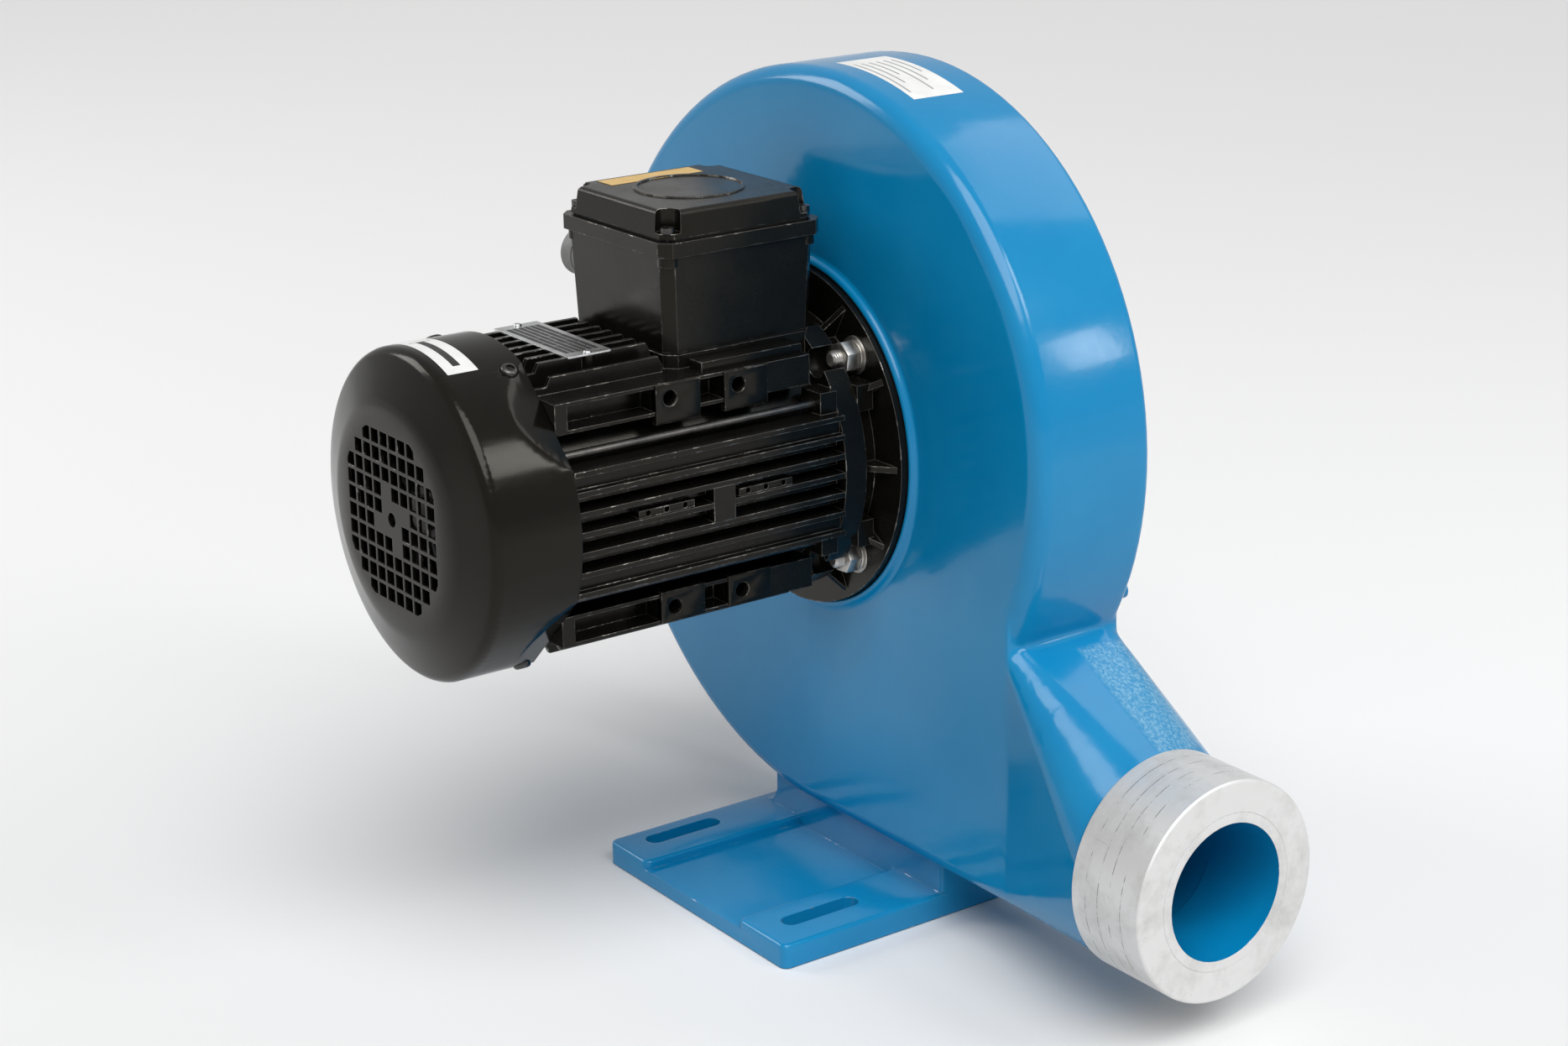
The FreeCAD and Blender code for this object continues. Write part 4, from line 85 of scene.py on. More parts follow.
class Nodes:
    """A node tree with short calls for adding and joining nodes."""

    def __init__(self, tree: bpy.types.NodeTree) -> None:
        """Take over a tree."""
        self.tree = tree

    def feed(self, socket: Socket, value: object) -> None:
        """Link an input to another node's output, or give it a plain value.

        Args:
            socket: The input to fill.
            value: The output or the value.
        """
        if isinstance(value, Socket):
            self.tree.links.new(value, socket)
        else:
            socket.default_value = value

    def node(self, kind: str, inputs: dict[str | int, object], output: str | int = 0,
             **settings: object) -> Socket:
        """Add a node.

        Args:
            kind: The node's type name.
            inputs: What each input gets: another node's output, or a plain value.
            output: The output that is used.
            settings: Property names and values.

        Returns:
            That output.
        """
        made = self.tree.nodes.new(kind)
        for name, value in settings.items():
            setattr(made, name, value)
        for name, value in inputs.items():
            self.feed(made.inputs[name], value)
        return made.outputs[output]

    def math(self, operation: str, first: object, second: object = 0.0) -> Socket:
        """One scalar operation on sockets or numbers."""
        return self.node("ShaderNodeMath", {0: first, 1: second}, operation=operation)


class Graph(Nodes):
    """A material's nodes, with the patterns that the finishes share."""

    def __init__(self, name: str) -> None:
        """Start an empty material with a Principled shader.

        Args:
            name: The material's name.
        """
        self.material = bpy.data.materials.new(name)
        self.material.use_nodes = True
        super().__init__(self.material.node_tree)
        self.shader = self.tree.nodes["Principled BSDF"]
        self.place = self.node("ShaderNodeTexCoord", {}, "Object")

    def parts(self, vector: Socket) -> list[Socket]:
        """The three parts of a vector."""
        return list(self.node("ShaderNodeSeparateXYZ", {0: vector}).node.outputs)

    def noise(self, scale: float, detail: float, rough: float,
              vector: Socket | None = None) -> Socket:
        """Noise on the object's own coordinates.

        Args:
            scale: Cells per metre.
            detail: Octaves.
            rough: Weight of the fine octaves.
            vector: Other coordinates, if any.

        Returns:
            The noise value.
        """
        return self.node("ShaderNodeTexNoise", {
            "Vector": vector or self.place, "Scale": scale, "Detail": detail,
            "Roughness": rough}, "Fac")

    def spread(self, value: Socket, low: float, high: float, start: float = 0.0,
               end: float = 1.0) -> Socket:
        """Map low..high onto start..end and clamp.

        Args:
            value: The socket to map.
            low: Value that becomes start.
            high: Value that becomes end.
            start: Output at low.
            end: Output at high.

        Returns:
            The mapped value.
        """
        return self.node("ShaderNodeMapRange", {
            "Value": value, "From Min": low, "From Max": high, "To Min": start,
            "To Max": end}, "Result", clamp=True)

    def mix(self, factor: Socket, first: object, second: object) -> Socket:
        """Blend two colours: the factor is 0 for the first and 1 for the second."""
        return self.node("ShaderNodeMix", {MIX_FACTOR: factor, MIX_FIRST: first,
                                           MIX_SECOND: second}, MIX_RESULT, data_type="RGBA")

    def rounded(self, radius: float) -> Socket:
        """The normal with every edge rounded to this radius."""
        return self.node("ShaderNodeBevel", {"Radius": radius}, "Normal",
                         samples=BEVEL_SAMPLES)

    def edges(self, width: float) -> Socket:
        """A mask that is 1 on sharp edges.

        Args:
            width: How far the mask reaches from an edge, in metres.

        Returns:
            The mask.
        """
        plain = self.node("ShaderNodeNewGeometry", {}, "Normal")
        match = self.node("ShaderNodeVectorMath", {0: self.rounded(width), 1: plain}, "Value",
                          operation="DOT_PRODUCT")
        return self.spread(match, *EDGE_COSINES)

    def relief(self, layers: list[tuple[Socket, float]], edge: float) -> None:
        """Feed the normals from rounded edges and a stack of bumps.

        Args:
            layers: Height and distance in metres of each bump.
            edge: Radius of the rounded edges in metres.
        """
        normal = self.rounded(edge)
        for height, distance in layers:
            normal = self.node("ShaderNodeBump", {"Strength": 1.0, "Distance": distance,
                                                  "Height": height, "Normal": normal}, "Normal")
        self.feed(self.shader.inputs["Normal"], normal)

    def set(self, **values: object) -> None:
        """Fill inputs of the shader, with underscores for the spaces in their names."""
        for name, value in values.items():
            self.feed(self.shader.inputs[name.replace("_", " ")], value)


@dataclass(frozen=True)
class Finish:
    """What every finish has.

    Args:
        name: The material's name.
        colour: Its colour.
        worn: Its colour where it is thin, dull, handled or dusty.
        rough: Lowest and highest roughness.
    """

    name: str
    colour: Colour
    worn: Colour
    rough: Pair


@dataclass(frozen=True)
class CastPaint(Finish):
    """Paint over a sand casting: orange peel, soft stains and chips on the edges.

    Args:
        metal: What shows in the chips, and the colour of the painted highlights along the edges.
        peel: Depth of the orange peel in metres.
        grain: Depth of the casting's grain in metres.
        chips: Share of the edges that is chipped.
        coat: Weight of the clear gloss.
        level: Specular level.
        edge_highlight: How far every edge is blended toward the metal's colour, a painted
            highlight along the edges.
        tint: Colour of the reflections.
        ground: Low and high corner of a place that was ground before painting.
        ground_glitter_tint: A lighter colour in patches on that place, a painted glitter of its
            rough surface.
        ground_depth: Depth of the grinding marks in metres.
        fade: How far the ground place fades at its sides.
    """

    metal: Colour
    peel: float
    grain: float
    chips: float
    coat: float
    level: float
    edge_highlight: float = 0.0
    tint: Colour = (1.0, 1.0, 1.0, 1.0)
    ground: Box | None = None
    ground_glitter_tint: Colour = (0.20, 0.42, 0.58, 1)
    ground_depth: float = 0.0006
    fade: float = 0.003

    def build(self) -> Material:
        """Make the material.

        Returns:
            The material.
        """
        graph = Graph(self.name)
        stains = graph.spread(graph.noise(14.0, 6.0, 0.6), 0.42, 0.75)
        paint = graph.mix(stains, self.colour, self.worn)
        layers = [(graph.noise(260.0, 2.0, 0.4), self.peel),
                  (graph.noise(1100.0, 3.0, 0.6), self.grain)]
        if self.ground:
            place = self.inside(graph)
            # Patchy lighter colour over the ground place: painted glitter of its rough surface.
            thin = graph.spread(graph.noise(520.0, 5.0, 0.7), 0.44, 0.62, 0.1, 0.8)
            paint = graph.mix(graph.math("MULTIPLY", place, thin), paint, self.ground_glitter_tint)
            marks = graph.math("MULTIPLY", graph.noise(430.0, 4.0, 0.65), place)
            layers.append((marks, self.ground_depth))
        # The metal's colour shows in the chips and as painted highlights along the edges.
        worn = self.chips_and_edge_highlight(graph)
        graph.set(Base_Color=graph.mix(worn, paint, self.metal),
                  Roughness=graph.spread(graph.noise(38.0, 5.0, 0.65), 0.3, 0.75, *self.rough),
                  Metallic=worn, Coat_Weight=self.coat, Coat_Roughness=0.07,
                  Specular_IOR_Level=self.level, Specular_Tint=self.tint)
        graph.relief(layers, 0.0007)
        return graph.material

    def chips_and_edge_highlight(self, graph: Graph) -> Socket:
        """A mask of the chips and of the painted highlights along every edge.

        Args:
            graph: The material's nodes.

        Returns:
            The mask.
        """
        least = 0.62 - self.chips * 0.2
        patches = graph.spread(graph.noise(95.0, 5.0, 0.7), least, least + 0.04)
        specks = graph.spread(graph.noise(420.0, 4.0, 0.7), 0.4, 0.5)
        chips = graph.math("MULTIPLY", graph.edges(0.0011), patches)
        chips = graph.math("MULTIPLY", chips, specks)
        if not self.edge_highlight:
            return chips
        # Painted highlight along every edge, uneven along its length.
        uneven = graph.spread(graph.noise(30.0, 4.0, 0.6), 0.3, 0.7, 0.2, 1.0)
        thin = graph.math("MULTIPLY", graph.edges(0.0006), uneven)
        return graph.math("MAXIMUM", chips, graph.math("MULTIPLY", thin, self.edge_highlight))

    def inside(self, graph: Graph) -> Socket:
        """A soft mask of the ground place.

        Args:
            graph: The material's nodes.

        Returns:
            The mask.
        """
        mask = None
        for place, low, high in zip(graph.parts(graph.place), *self.ground):
            side = graph.math("MINIMUM", graph.spread(place, low, low + self.fade),
                              graph.spread(place, high - self.fade, high, 1.0, 0.0))
            mask = side if mask is None else graph.math("MINIMUM", mask, side)
        return mask


@dataclass(frozen=True)
class BareMetal(Finish):
    """Metal with a machined or rolled surface.

    Args:
        grain: Depth of the grain in metres.
        scale: Cells of the grain per metre.
    """

    grain: float = 0.00001
    scale: float = 900.0

    def build(self) -> Material:
        """Make the material.

        Returns:
            The material.
        """
        graph = Graph(self.name)
        smudge = graph.spread(graph.noise(60.0, 6.0, 0.65), 0.4, 0.72)
        graph.set(Base_Color=graph.mix(smudge, self.colour, self.worn), Metallic=1.0,
                  Roughness=graph.spread(graph.noise(130.0, 5.0, 0.7), 0.3, 0.7, *self.rough))
        graph.relief([(graph.noise(self.scale, 3.0, 0.6), self.grain)], FINE_EDGE)
        return graph.material


@dataclass(frozen=True)
class TurnedMetal(Finish):
    """Metal turned on a lathe: fine rings on its faces and its rim, with smudges.

    Args:
        scuffed: The metal in scuffs and stop marks.
        centre: A point on the turning axis.
        marks: Places along the axis where the tool stopped.
        mark_half: Half width of a stop mark, without and with its soft sides.
        lines: Tool marks per metre.
    """

    scuffed: Colour
    centre: Vector
    marks: tuple[float, ...]
    mark_half: Pair = (0.00016, 0.0003)
    lines: float = 2600.0

    def stops(self, graph: Graph, along: Socket) -> Socket:
        """A broken dark line at each place where the tool stopped.

        Args:
            graph: The material's nodes.
            along: Distance along the turning axis.

        Returns:
            The lines' mask.
        """
        broken = graph.spread(graph.noise(90.0, 5.0, 0.7), 0.46, 0.56)
        lines = None
        for place in self.marks:
            off = graph.math("ABSOLUTE", graph.math("SUBTRACT", along, place))
            line = graph.spread(off, *self.mark_half, 1.0, 0.0)
            lines = line if lines is None else graph.math("MAXIMUM", lines, line)
        return graph.math("MULTIPLY", lines, broken)

    def build(self) -> Material:
        """Make the material, with tool marks by the place along X plus the radius.

        Returns:
            The material.
        """
        graph = Graph(self.name)
        moved = graph.node("ShaderNodeVectorMath", {0: graph.place, 1: self.centre},
                           operation="SUBTRACT")
        along, across, up = graph.parts(moved)
        flat = graph.node("ShaderNodeCombineXYZ", {"Y": across, "Z": up})
        radius = graph.node("ShaderNodeVectorMath", {0: flat}, "Value", operation="LENGTH")
        track = graph.node("ShaderNodeCombineXYZ", {"X": graph.math("ADD", along, radius)})
        fine = graph.noise(self.lines, 4.0, 0.7, track)
        broad = graph.noise(self.lines * 0.12, 2.0, 0.5, track)
        smudge = graph.spread(graph.noise(34.0, 7.0, 0.68), 0.45, 0.7)
        streak = graph.node("ShaderNodeMapping", {"Vector": graph.place,
                                                  "Scale": (0.12, 1.0, 1.0)})
        scuffs = graph.spread(graph.noise(260.0, 6.0, 0.75, streak), 0.64, 0.74)
        scuffs = graph.math("MAXIMUM", graph.math("MULTIPLY", scuffs, 0.5),
                            self.stops(graph, along))
        metal = graph.mix(smudge, self.colour, self.worn)
        graph.set(Base_Color=graph.mix(scuffs, metal, self.scuffed), Metallic=0.5,
                  Roughness=graph.math("ADD", graph.spread(smudge, 0.0, 1.0, *self.rough),
                                       graph.spread(broad, 0.3, 0.7, -0.05, 0.07)))
        graph.relief([(fine, 0.000012)], 0.0005)
        return graph.material


@dataclass(frozen=True)
class Moulded(Finish):
    """Plastic, rubber or printed film."""

    def build(self) -> Material:
        """Make the material.

        Returns:
            The material.
        """
        graph = Graph(self.name)
        patch = graph.spread(graph.noise(70.0, 5.0, 0.6), 0.4, 0.75)
        graph.set(Base_Color=graph.mix(patch, self.colour, self.worn),
                  Roughness=graph.spread(graph.noise(160.0, 4.0, 0.6), 0.3, 0.7, *self.rough))
        graph.relief([(graph.noise(1400.0, 2.0, 0.5), 0.00002)], FINE_EDGE)
        return graph.material


COLLAR_CENTRE = Vector((0.0, 0.0395, 0.0845))
STOP_MARKS = (0.2742, 0.2836, 0.2921, 0.3012)

WARM = (1.0, 0.95, 0.84, 1.0)

FINISHES = {
    "casing_paint": CastPaint(
        "BlueCastPaint", (0.0015, 0.205, 0.44, 1), (0.006, 0.225, 0.46, 1),
        (0.11, 0.23), (0.62, 0.63, 0.64, 1), 0.00004, 0.00001, 0.2, 0.14, 0.3,
        # The ground place on the duct gets grinding marks and a painted glitter.
        ground=((0.191, 0.041, 0.138), (0.264, 0.078, 0.196))),
    # The 0.45 just before WARM paints a highlight along every edge of the motor.
    "motor_paint": CastPaint(
        "BlackCastPaint", (0.0035, 0.0034, 0.0029, 1), (0.007, 0.0066, 0.0052, 1),
        (0.18, 0.33), (0.44, 0.42, 0.38, 1), 0.00003, 0.00002, 0.45, 0.0, 0.24, 0.45, WARM),
    "turned_aluminium": TurnedMetal(
        "TurnedAluminium", (0.72, 0.72, 0.715, 1), (0.56, 0.56, 0.55, 1), (0.46, 0.6),
        (0.2, 0.2, 0.19, 1), COLLAR_CENTRE, STOP_MARKS),
    "plate_aluminium": BareMetal(
        "PlateAluminium", (0.72, 0.73, 0.74, 1), (0.5, 0.5, 0.49, 1), (0.22, 0.4)),
    "impeller_aluminium": BareMetal(
        "CastAluminium", (0.62, 0.63, 0.64, 1), (0.42, 0.42, 0.42, 1), (0.4, 0.6), 0.00004),
    "stainless": BareMetal(
        "StainlessSteel", (0.62, 0.60, 0.57, 1), (0.34, 0.32, 0.29, 1), (0.30, 0.5)),
    "dark_steel": BareMetal(
        "BlackSteel", (0.06, 0.06, 0.06, 1), (0.13, 0.12, 0.11, 1), (0.25, 0.42)),
    "shaft_steel": BareMetal(
        "GroundSteel", (0.30, 0.30, 0.31, 1), (0.2, 0.2, 0.2, 1), (0.3, 0.45)),
    "bearing_steel": BareMetal(
        "BearingSteel", (0.76, 0.77, 0.78, 1), (0.66, 0.66, 0.66, 1), (0.08, 0.18)),
    "cage_brass": BareMetal(
        "Brass", (0.74, 0.54, 0.24, 1), (0.5, 0.35, 0.15, 1), (0.22, 0.42)),
    "core_steel": BareMetal(
        "LaminationSteel", (0.3, 0.3, 0.31, 1), (0.18, 0.17, 0.17, 1), (0.35, 0.55)),
    "winding_copper": BareMetal(
        "WindingCopper", (0.58, 0.26, 0.12, 1), (0.36, 0.15, 0.07, 1), (0.25, 0.45), 0.0001,
        500.0),
    "gasket_rubber": Moulded(
        "GasketRubber", (0.012, 0.012, 0.012, 1), (0.03, 0.03, 0.03, 1), (0.55, 0.75)),
    "gland_plastic": Moulded(
        "GreyPlastic", (0.17, 0.172, 0.165, 1), (0.23, 0.23, 0.22, 1), (0.45, 0.6)),
    "fan_plastic": Moulded(
        "BlackPlastic", (0.012, 0.012, 0.012, 1), (0.02, 0.02, 0.02, 1), (0.4, 0.55)),
}


# The 0.12 just before WARM paints a highlight along the cowl's edges.
COWL_PAINT = CastPaint(
    "BlackSmoothPaint", (0.004, 0.0037, 0.003, 1), (0.006, 0.0055, 0.0042, 1),
    (0.12, 0.21), (0.34, 0.33, 0.30, 1), 0.00001, 0.000004, 0.1, 0.0, 0.22, 0.12, WARM)
WHITE_FILM = Moulded("WhiteFilm", (0.80, 0.80, 0.79, 1), (0.70, 0.70, 0.68, 1), (0.35, 0.5))
TAN_PAPER = Moulded("TanPaper", (0.62, 0.42, 0.17, 1), (0.52, 0.34, 0.12, 1), (0.5, 0.65))
BLACK_INK = Moulded("BlackInk", (0.012, 0.012, 0.012, 1), (0.03, 0.03, 0.03, 1), (0.35, 0.5))
GREY_INK = Moulded("GreyInk", (0.30, 0.31, 0.32, 1), (0.38, 0.38, 0.38, 1), (0.4, 0.55))


class Dresser:
    """Gives the carried-over solids their finishes."""

    def __init__(self) -> None:
        """Build one material for each slot of the record."""
        self.materials = {slot: finish.build() for slot, finish in FINISHES.items()}
        dark = self.materials["dark_steel"]
        self.special = {"fan_cowl": COWL_PAINT.build(), "lid_screws": dark,
                        "motor_shaft": dark, "fan_clip": dark,
                        "cover_screws": self.materials["casing_paint"]}

    def dress(self) -> None:
        """Put each slot's material on the solids that use it."""
        slots = {part["node"]: part["material_slot"] for part in frame["record"]["subparts"]}
        for name, piece in frame["nodes"].items():
            material = self.special.get(name, self.materials[slots[name]])
            piece.data.materials.clear()
            piece.data.materials.append(material)
            LOG.info("solid %s wears %s", name, material.name)


def show(name: str, data: bpy.types.ID) -> bpy.types.Object:
    """Put data in the scene as an object.

    Args:
        name: The object's name.
        data: Its mesh, camera or light.

    Returns:
        The object.
    """
    made = bpy.data.objects.new(name, data)
    bpy.context.scene.collection.objects.link(made)
    return made


@dataclass
class Camera:
    """The photograph's camera.

    Args:
        place: Where it stands.
        right: The picture's right.
        down: The picture's down.
        lens: Focal length in millimetres.
        shift: Shift of the picture across and up.
        sensor: Width of the sensor in millimetres.
        sight: Nearest and farthest distance that it sees.
    """

    place: Vector
    right: Vector
    down: Vector
    lens: float
    shift: Pair
    sensor: float = 36.0
    sight: Pair = (0.05, 50.0)

    def build(self) -> None:
        """Make the camera and use it."""
        data = bpy.data.cameras.new("PhotoCamera")
        data.sensor_width = self.sensor
        data.lens = self.lens
        data.shift_x, data.shift_y = self.shift
        data.clip_start, data.clip_end = self.sight
        camera = show("PhotoCamera", data)
        right = self.right.normalized()
        up = (-self.down - right * right.dot(-self.down)).normalized()
        back = right.cross(up)
        turn = Matrix((right, up, back)).transposed()
        camera.matrix_world = Matrix.Translation(self.place) @ turn.to_4x4()
        bpy.context.scene.camera = camera


@dataclass
class Studio:
    """Pale floor, pale surroundings, a soft high light and four soft panels.

    Args:
        reach: Half width of the floor in metres.
        floor: The floor's colour.
        sunk: How far the floor lies below the foot.
        surround: Brightness of the surroundings on the object.
        backdrop: Brightness of the surroundings that are seen or reflected.
        pale: Colour of the surroundings.
        high_power: Strength of the high light.
        high_spread: Its width in degrees.
        high_way: The direction that it shines in.
        panels: Each panel's name, place, aim, width with height, and watts.
    """

    reach: float = 40.0
    floor: Colour = (0.80, 0.80, 0.80, 1)
    sunk: float = 0.0005
    surround: float = 0.15
    backdrop: float = 0.55
    pale: Colour = (1.0, 1.0, 1.0, 1)
    high_power: float = 2.75
    high_spread: float = 50.0
    high_way: Point = (-0.50, 0.26, -0.82)
    panels: tuple[Panel, ...] = (
        ("RightPanel", (1.45, 0.70, 1.60), (0.0, 0.0, 0.3), (0.5, 0.7), 8.5),
        ("LeftPanel", (-2.4, -1.8, 1.9), (0.0, -0.1, 0.3), (1.2, 1.6), 32.0),
        ("WindowPanel", (1.50, 1.20, 0.85), (0.19, 0.04, 0.35), (0.2, 0.3), 2.0),
        ("TopPanel", (0.15, 1.20, 1.70), (0.1, 0.0, 0.3), (1.1, 0.5), 3.0))

    def build(self) -> None:
        """Make the floor, the world and the lamps."""
        self.build_floor()
        self.build_world()
        high = bpy.data.lights.new("HighLight", "SUN")
        high.energy = self.high_power
        high.angle = math.radians(self.high_spread)
        self.hang(high, Vector(), Vector(self.high_way))
        for name, place, aim, size, power in self.panels:
            panel = bpy.data.lights.new(name, "AREA")
            panel.shape = "RECTANGLE"
            panel.size, panel.size_y = size
            panel.energy = power
            self.hang(panel, Vector(place), Vector(aim) - Vector(place))

    def hang(self, light: bpy.types.Light, place: Vector, way: Vector) -> None:
        """Put a light in the scene.

        Args:
            light: The light.
            place: Where it hangs.
            way: The direction that it shines in.
        """
        lamp = show(light.name, light)
        lamp.location = place
        lamp.rotation_mode = "QUATERNION"
        lamp.rotation_quaternion = way.to_track_quat("-Z", "Y")

    def build_floor(self) -> None:
        """Make the floor that the foot stands on."""
        mesh = bmesh.new()
        bmesh.ops.create_grid(mesh, x_segments=1, y_segments=1, size=self.reach)
        data = bpy.data.meshes.new("StudioFloor")
        mesh.to_mesh(data)
        mesh.free()
        graph = Graph("StudioFloor")
        graph.set(Base_Color=self.floor, Roughness=0.6)
        data.materials.append(graph.material)
        floor = show("StudioFloor", data)
        floor.location.z = -self.sunk

    def build_world(self) -> None:
        """Make even surroundings that look as pale as the floor, also in reflections."""
        world = bpy.data.worlds.new("Studio")
        bpy.context.scene.world = world
        world.use_nodes = True
        nodes = Nodes(world.node_tree)
        light = nodes.tree.nodes["Background"]
        for name, value in (("Color", self.pale), ("Strength", self.surround)):
            nodes.feed(light.inputs[name], value)
        seen = nodes.node("ShaderNodeBackground", {"Color": self.pale,
                                                   "Strength": self.backdrop})
        looks = nodes.node("ShaderNodeLightPath", {}, "Is Camera Ray")
        rays = looks.node.outputs
        for kind in ("Is Glossy Ray", "Is Transmission Ray"):
            looks = nodes.math("MAXIMUM", looks, rays[kind])
        blend = nodes.node("ShaderNodeMixShader", {0: looks, 1: light.outputs[0], 2: seen})
        nodes.feed(nodes.tree.nodes["World Output"].inputs["Surface"], blend)


def new_object(mesh: Mesh, name: str, materials: list[Material],
               smooth: float = 32.0) -> bpy.types.Object:
    """Turn a finished bmesh into an object that rides on the casing.

    Args:
        mesh: The finished shape, which is freed.
        name: The piece's name.
        materials: Its materials, in the order of the faces' indices.
        smooth: Edges flatter than this many degrees are shaded smooth.

    Returns:
        The new object.
    """
    data = bpy.data.meshes.new(name)
    mesh.to_mesh(data)
    mesh.free()
    kept = data.attributes.get("custom_normal")
    if kept is not None:
        data.attributes.remove(kept)
    data.shade_smooth()
    data.set_sharp_from_angle(angle=math.radians(smooth))
    for material in materials:
        data.materials.append(material)
    made = show(name, data)
    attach(made, Body.CASING.value)
    LOG.info("piece %s", name)
    return made


def merged(node: str) -> Mesh:
    """A solid's copy with its loose triangles joined.

    Args:
        node: The solid's name.

    Returns:
        The joined copy.
    """
    mesh = bmesh.new()
    mesh.from_mesh(frame["nodes"][node].data)
    for face in mesh.faces:
        face.material_index = 0
    bmesh.ops.remove_doubles(mesh, verts=mesh.verts, dist=MERGE)
    return mesh


def turned(profile: Profile, centre: Vector, axis: Vector, steps: int,
           closed: bool = True) -> Mesh:
    """Spin a profile round an axis.

    Args:
        profile: Places along the axis and distances from it.
        centre: A point on the axis where the place along is zero.
        axis: The axis, one of the main directions.
        steps: Faces round the circle.
        closed: Join the last point to the first.

    Returns:
        The spun shape.
    """
    mesh = bmesh.new()
    out = Vector((0.0, 0.0, 1.0))
    points = [mesh.verts.new(centre + axis * along + out * radius) for along, radius in profile]
    pairs = list(zip(points, points[1:]))
    if closed:
        pairs.append((points[-1], points[0]))
    edges = [mesh.edges.new(pair) for pair in pairs]
    bmesh.ops.spin(mesh, geom=points + edges, cent=centre, axis=axis, dvec=(0, 0, 0),
                   angle=math.tau, steps=steps, use_merge=True, use_duplicate=False)
    bmesh.ops.remove_doubles(mesh, verts=mesh.verts, dist=MERGE)
    bmesh.ops.recalc_face_normals(mesh, faces=mesh.faces)
    return mesh


def wound(profile: Profile, centre: Vector, start: float, angle: float, steps: int,
          rise: float = 0.0) -> Mesh:
    """Wind a face round the Y direction.

    Args:
        profile: Places along Y and distances from the axis.
        centre: A point on the axis where the place along is zero.
        start: Where the winding starts, in degrees.
        angle: How far it goes, in degrees.
        steps: Steps on the way.
        rise: How far it climbs along Y in a step.

    Returns:
        The wound shape.
    """
    mesh = bmesh.new()
    points = [mesh.verts.new(centre + Vector((0.0, along, radius))) for along, radius in profile]
    face = mesh.faces.new(points)
    bmesh.ops.rotate(mesh, verts=points, cent=centre,
                     matrix=Matrix.Rotation(math.radians(start), 3, "Y"))
    bmesh.ops.spin(mesh, geom=[face, *face.edges, *points], cent=centre, axis=WAY_Y,
                   dvec=(0.0, rise, 0.0), angle=math.radians(angle), steps=steps,
                   use_duplicate=False)
    bmesh.ops.recalc_face_normals(mesh, faces=mesh.faces)
    return mesh


def add(mesh: Mesh, part: Mesh) -> None:
    """Move a part's faces into a piece's mesh.

    Args:
        mesh: The piece.
        part: The part, which is freed.
    """
    data = bpy.data.meshes.new("part")
    part.to_mesh(data)
    part.free()
    mesh.from_mesh(data)
    bpy.data.meshes.remove(data)


def bevel(mesh: Mesh, edges: list[bmesh.types.BMEdge], size: float, segments: int = 2) -> None:
    """Round edges to a size in metres, with a number of faces across the rounding."""
    bmesh.ops.bevel(mesh, geom=edges, offset=size, offset_type="OFFSET", segments=segments,
                    profile=0.5, affect="EDGES", clamp_overlap=True, material=-1)


def placed(middle: Point | Vector, size: Point | Vector) -> Matrix:
    """The matrix that makes a unit shape this large at this place."""
    return Matrix.Translation(middle) @ Matrix.Diagonal((*size, 1.0))


def near(face: bmesh.types.BMFace, low: Vector, high: Vector) -> bool:
    """Whether a face reaches into a box.

    Args:
        face: The face.
        low: The box's lowest corner.
        high: The box's highest corner.

    Returns:
        True if the boxes overlap.
    """
    touch = 0.00001
    return all(min(vert.co[i] for vert in face.verts) < high[i] - touch
               and max(vert.co[i] for vert in face.verts) > low[i] + touch
               for i in range(3))


def soften(mesh: Mesh, low: Vector, high: Vector, counts: tuple[int, int, int],
           rounds: tuple[tuple[float, int], ...]) -> None:
    """Cut the faces in a box finely and smooth them.

    Args:
        mesh: The piece.
        low: The box's lowest corner.
        high: The box's highest corner.
        counts: Cuts along each axis, or 0 for none.
        rounds: Margins from the box's sides, each with its passes.
    """
    for axis, count in enumerate(counts):
        if not count:
            continue
        normal = Vector([float(index == axis) for index in range(3)])
        faces = [face for face in mesh.faces if near(face, low, high)]
        geometry = list({item for face in faces for item in (*face.verts, *face.edges, face)})
        for step in range(count + 1):
            cut = bmesh.ops.bisect_plane(mesh, geom=geometry, dist=0.00002,
                                         plane_co=low.lerp(high, step / count),
                                         plane_no=normal)
            geometry = cut["geom"]
    for margin, passes in rounds:
        inside = [vert for vert in mesh.verts
                  if all(low[i] + margin < vert.co[i] < high[i] - margin for i in (0, 2))
                  and low.y < vert.co.y < high.y]
        for _ in range(passes):
            bmesh.ops.smooth_vert(mesh, verts=inside, factor=0.5, use_axis_x=True,
                                  use_axis_y=True, use_axis_z=True)


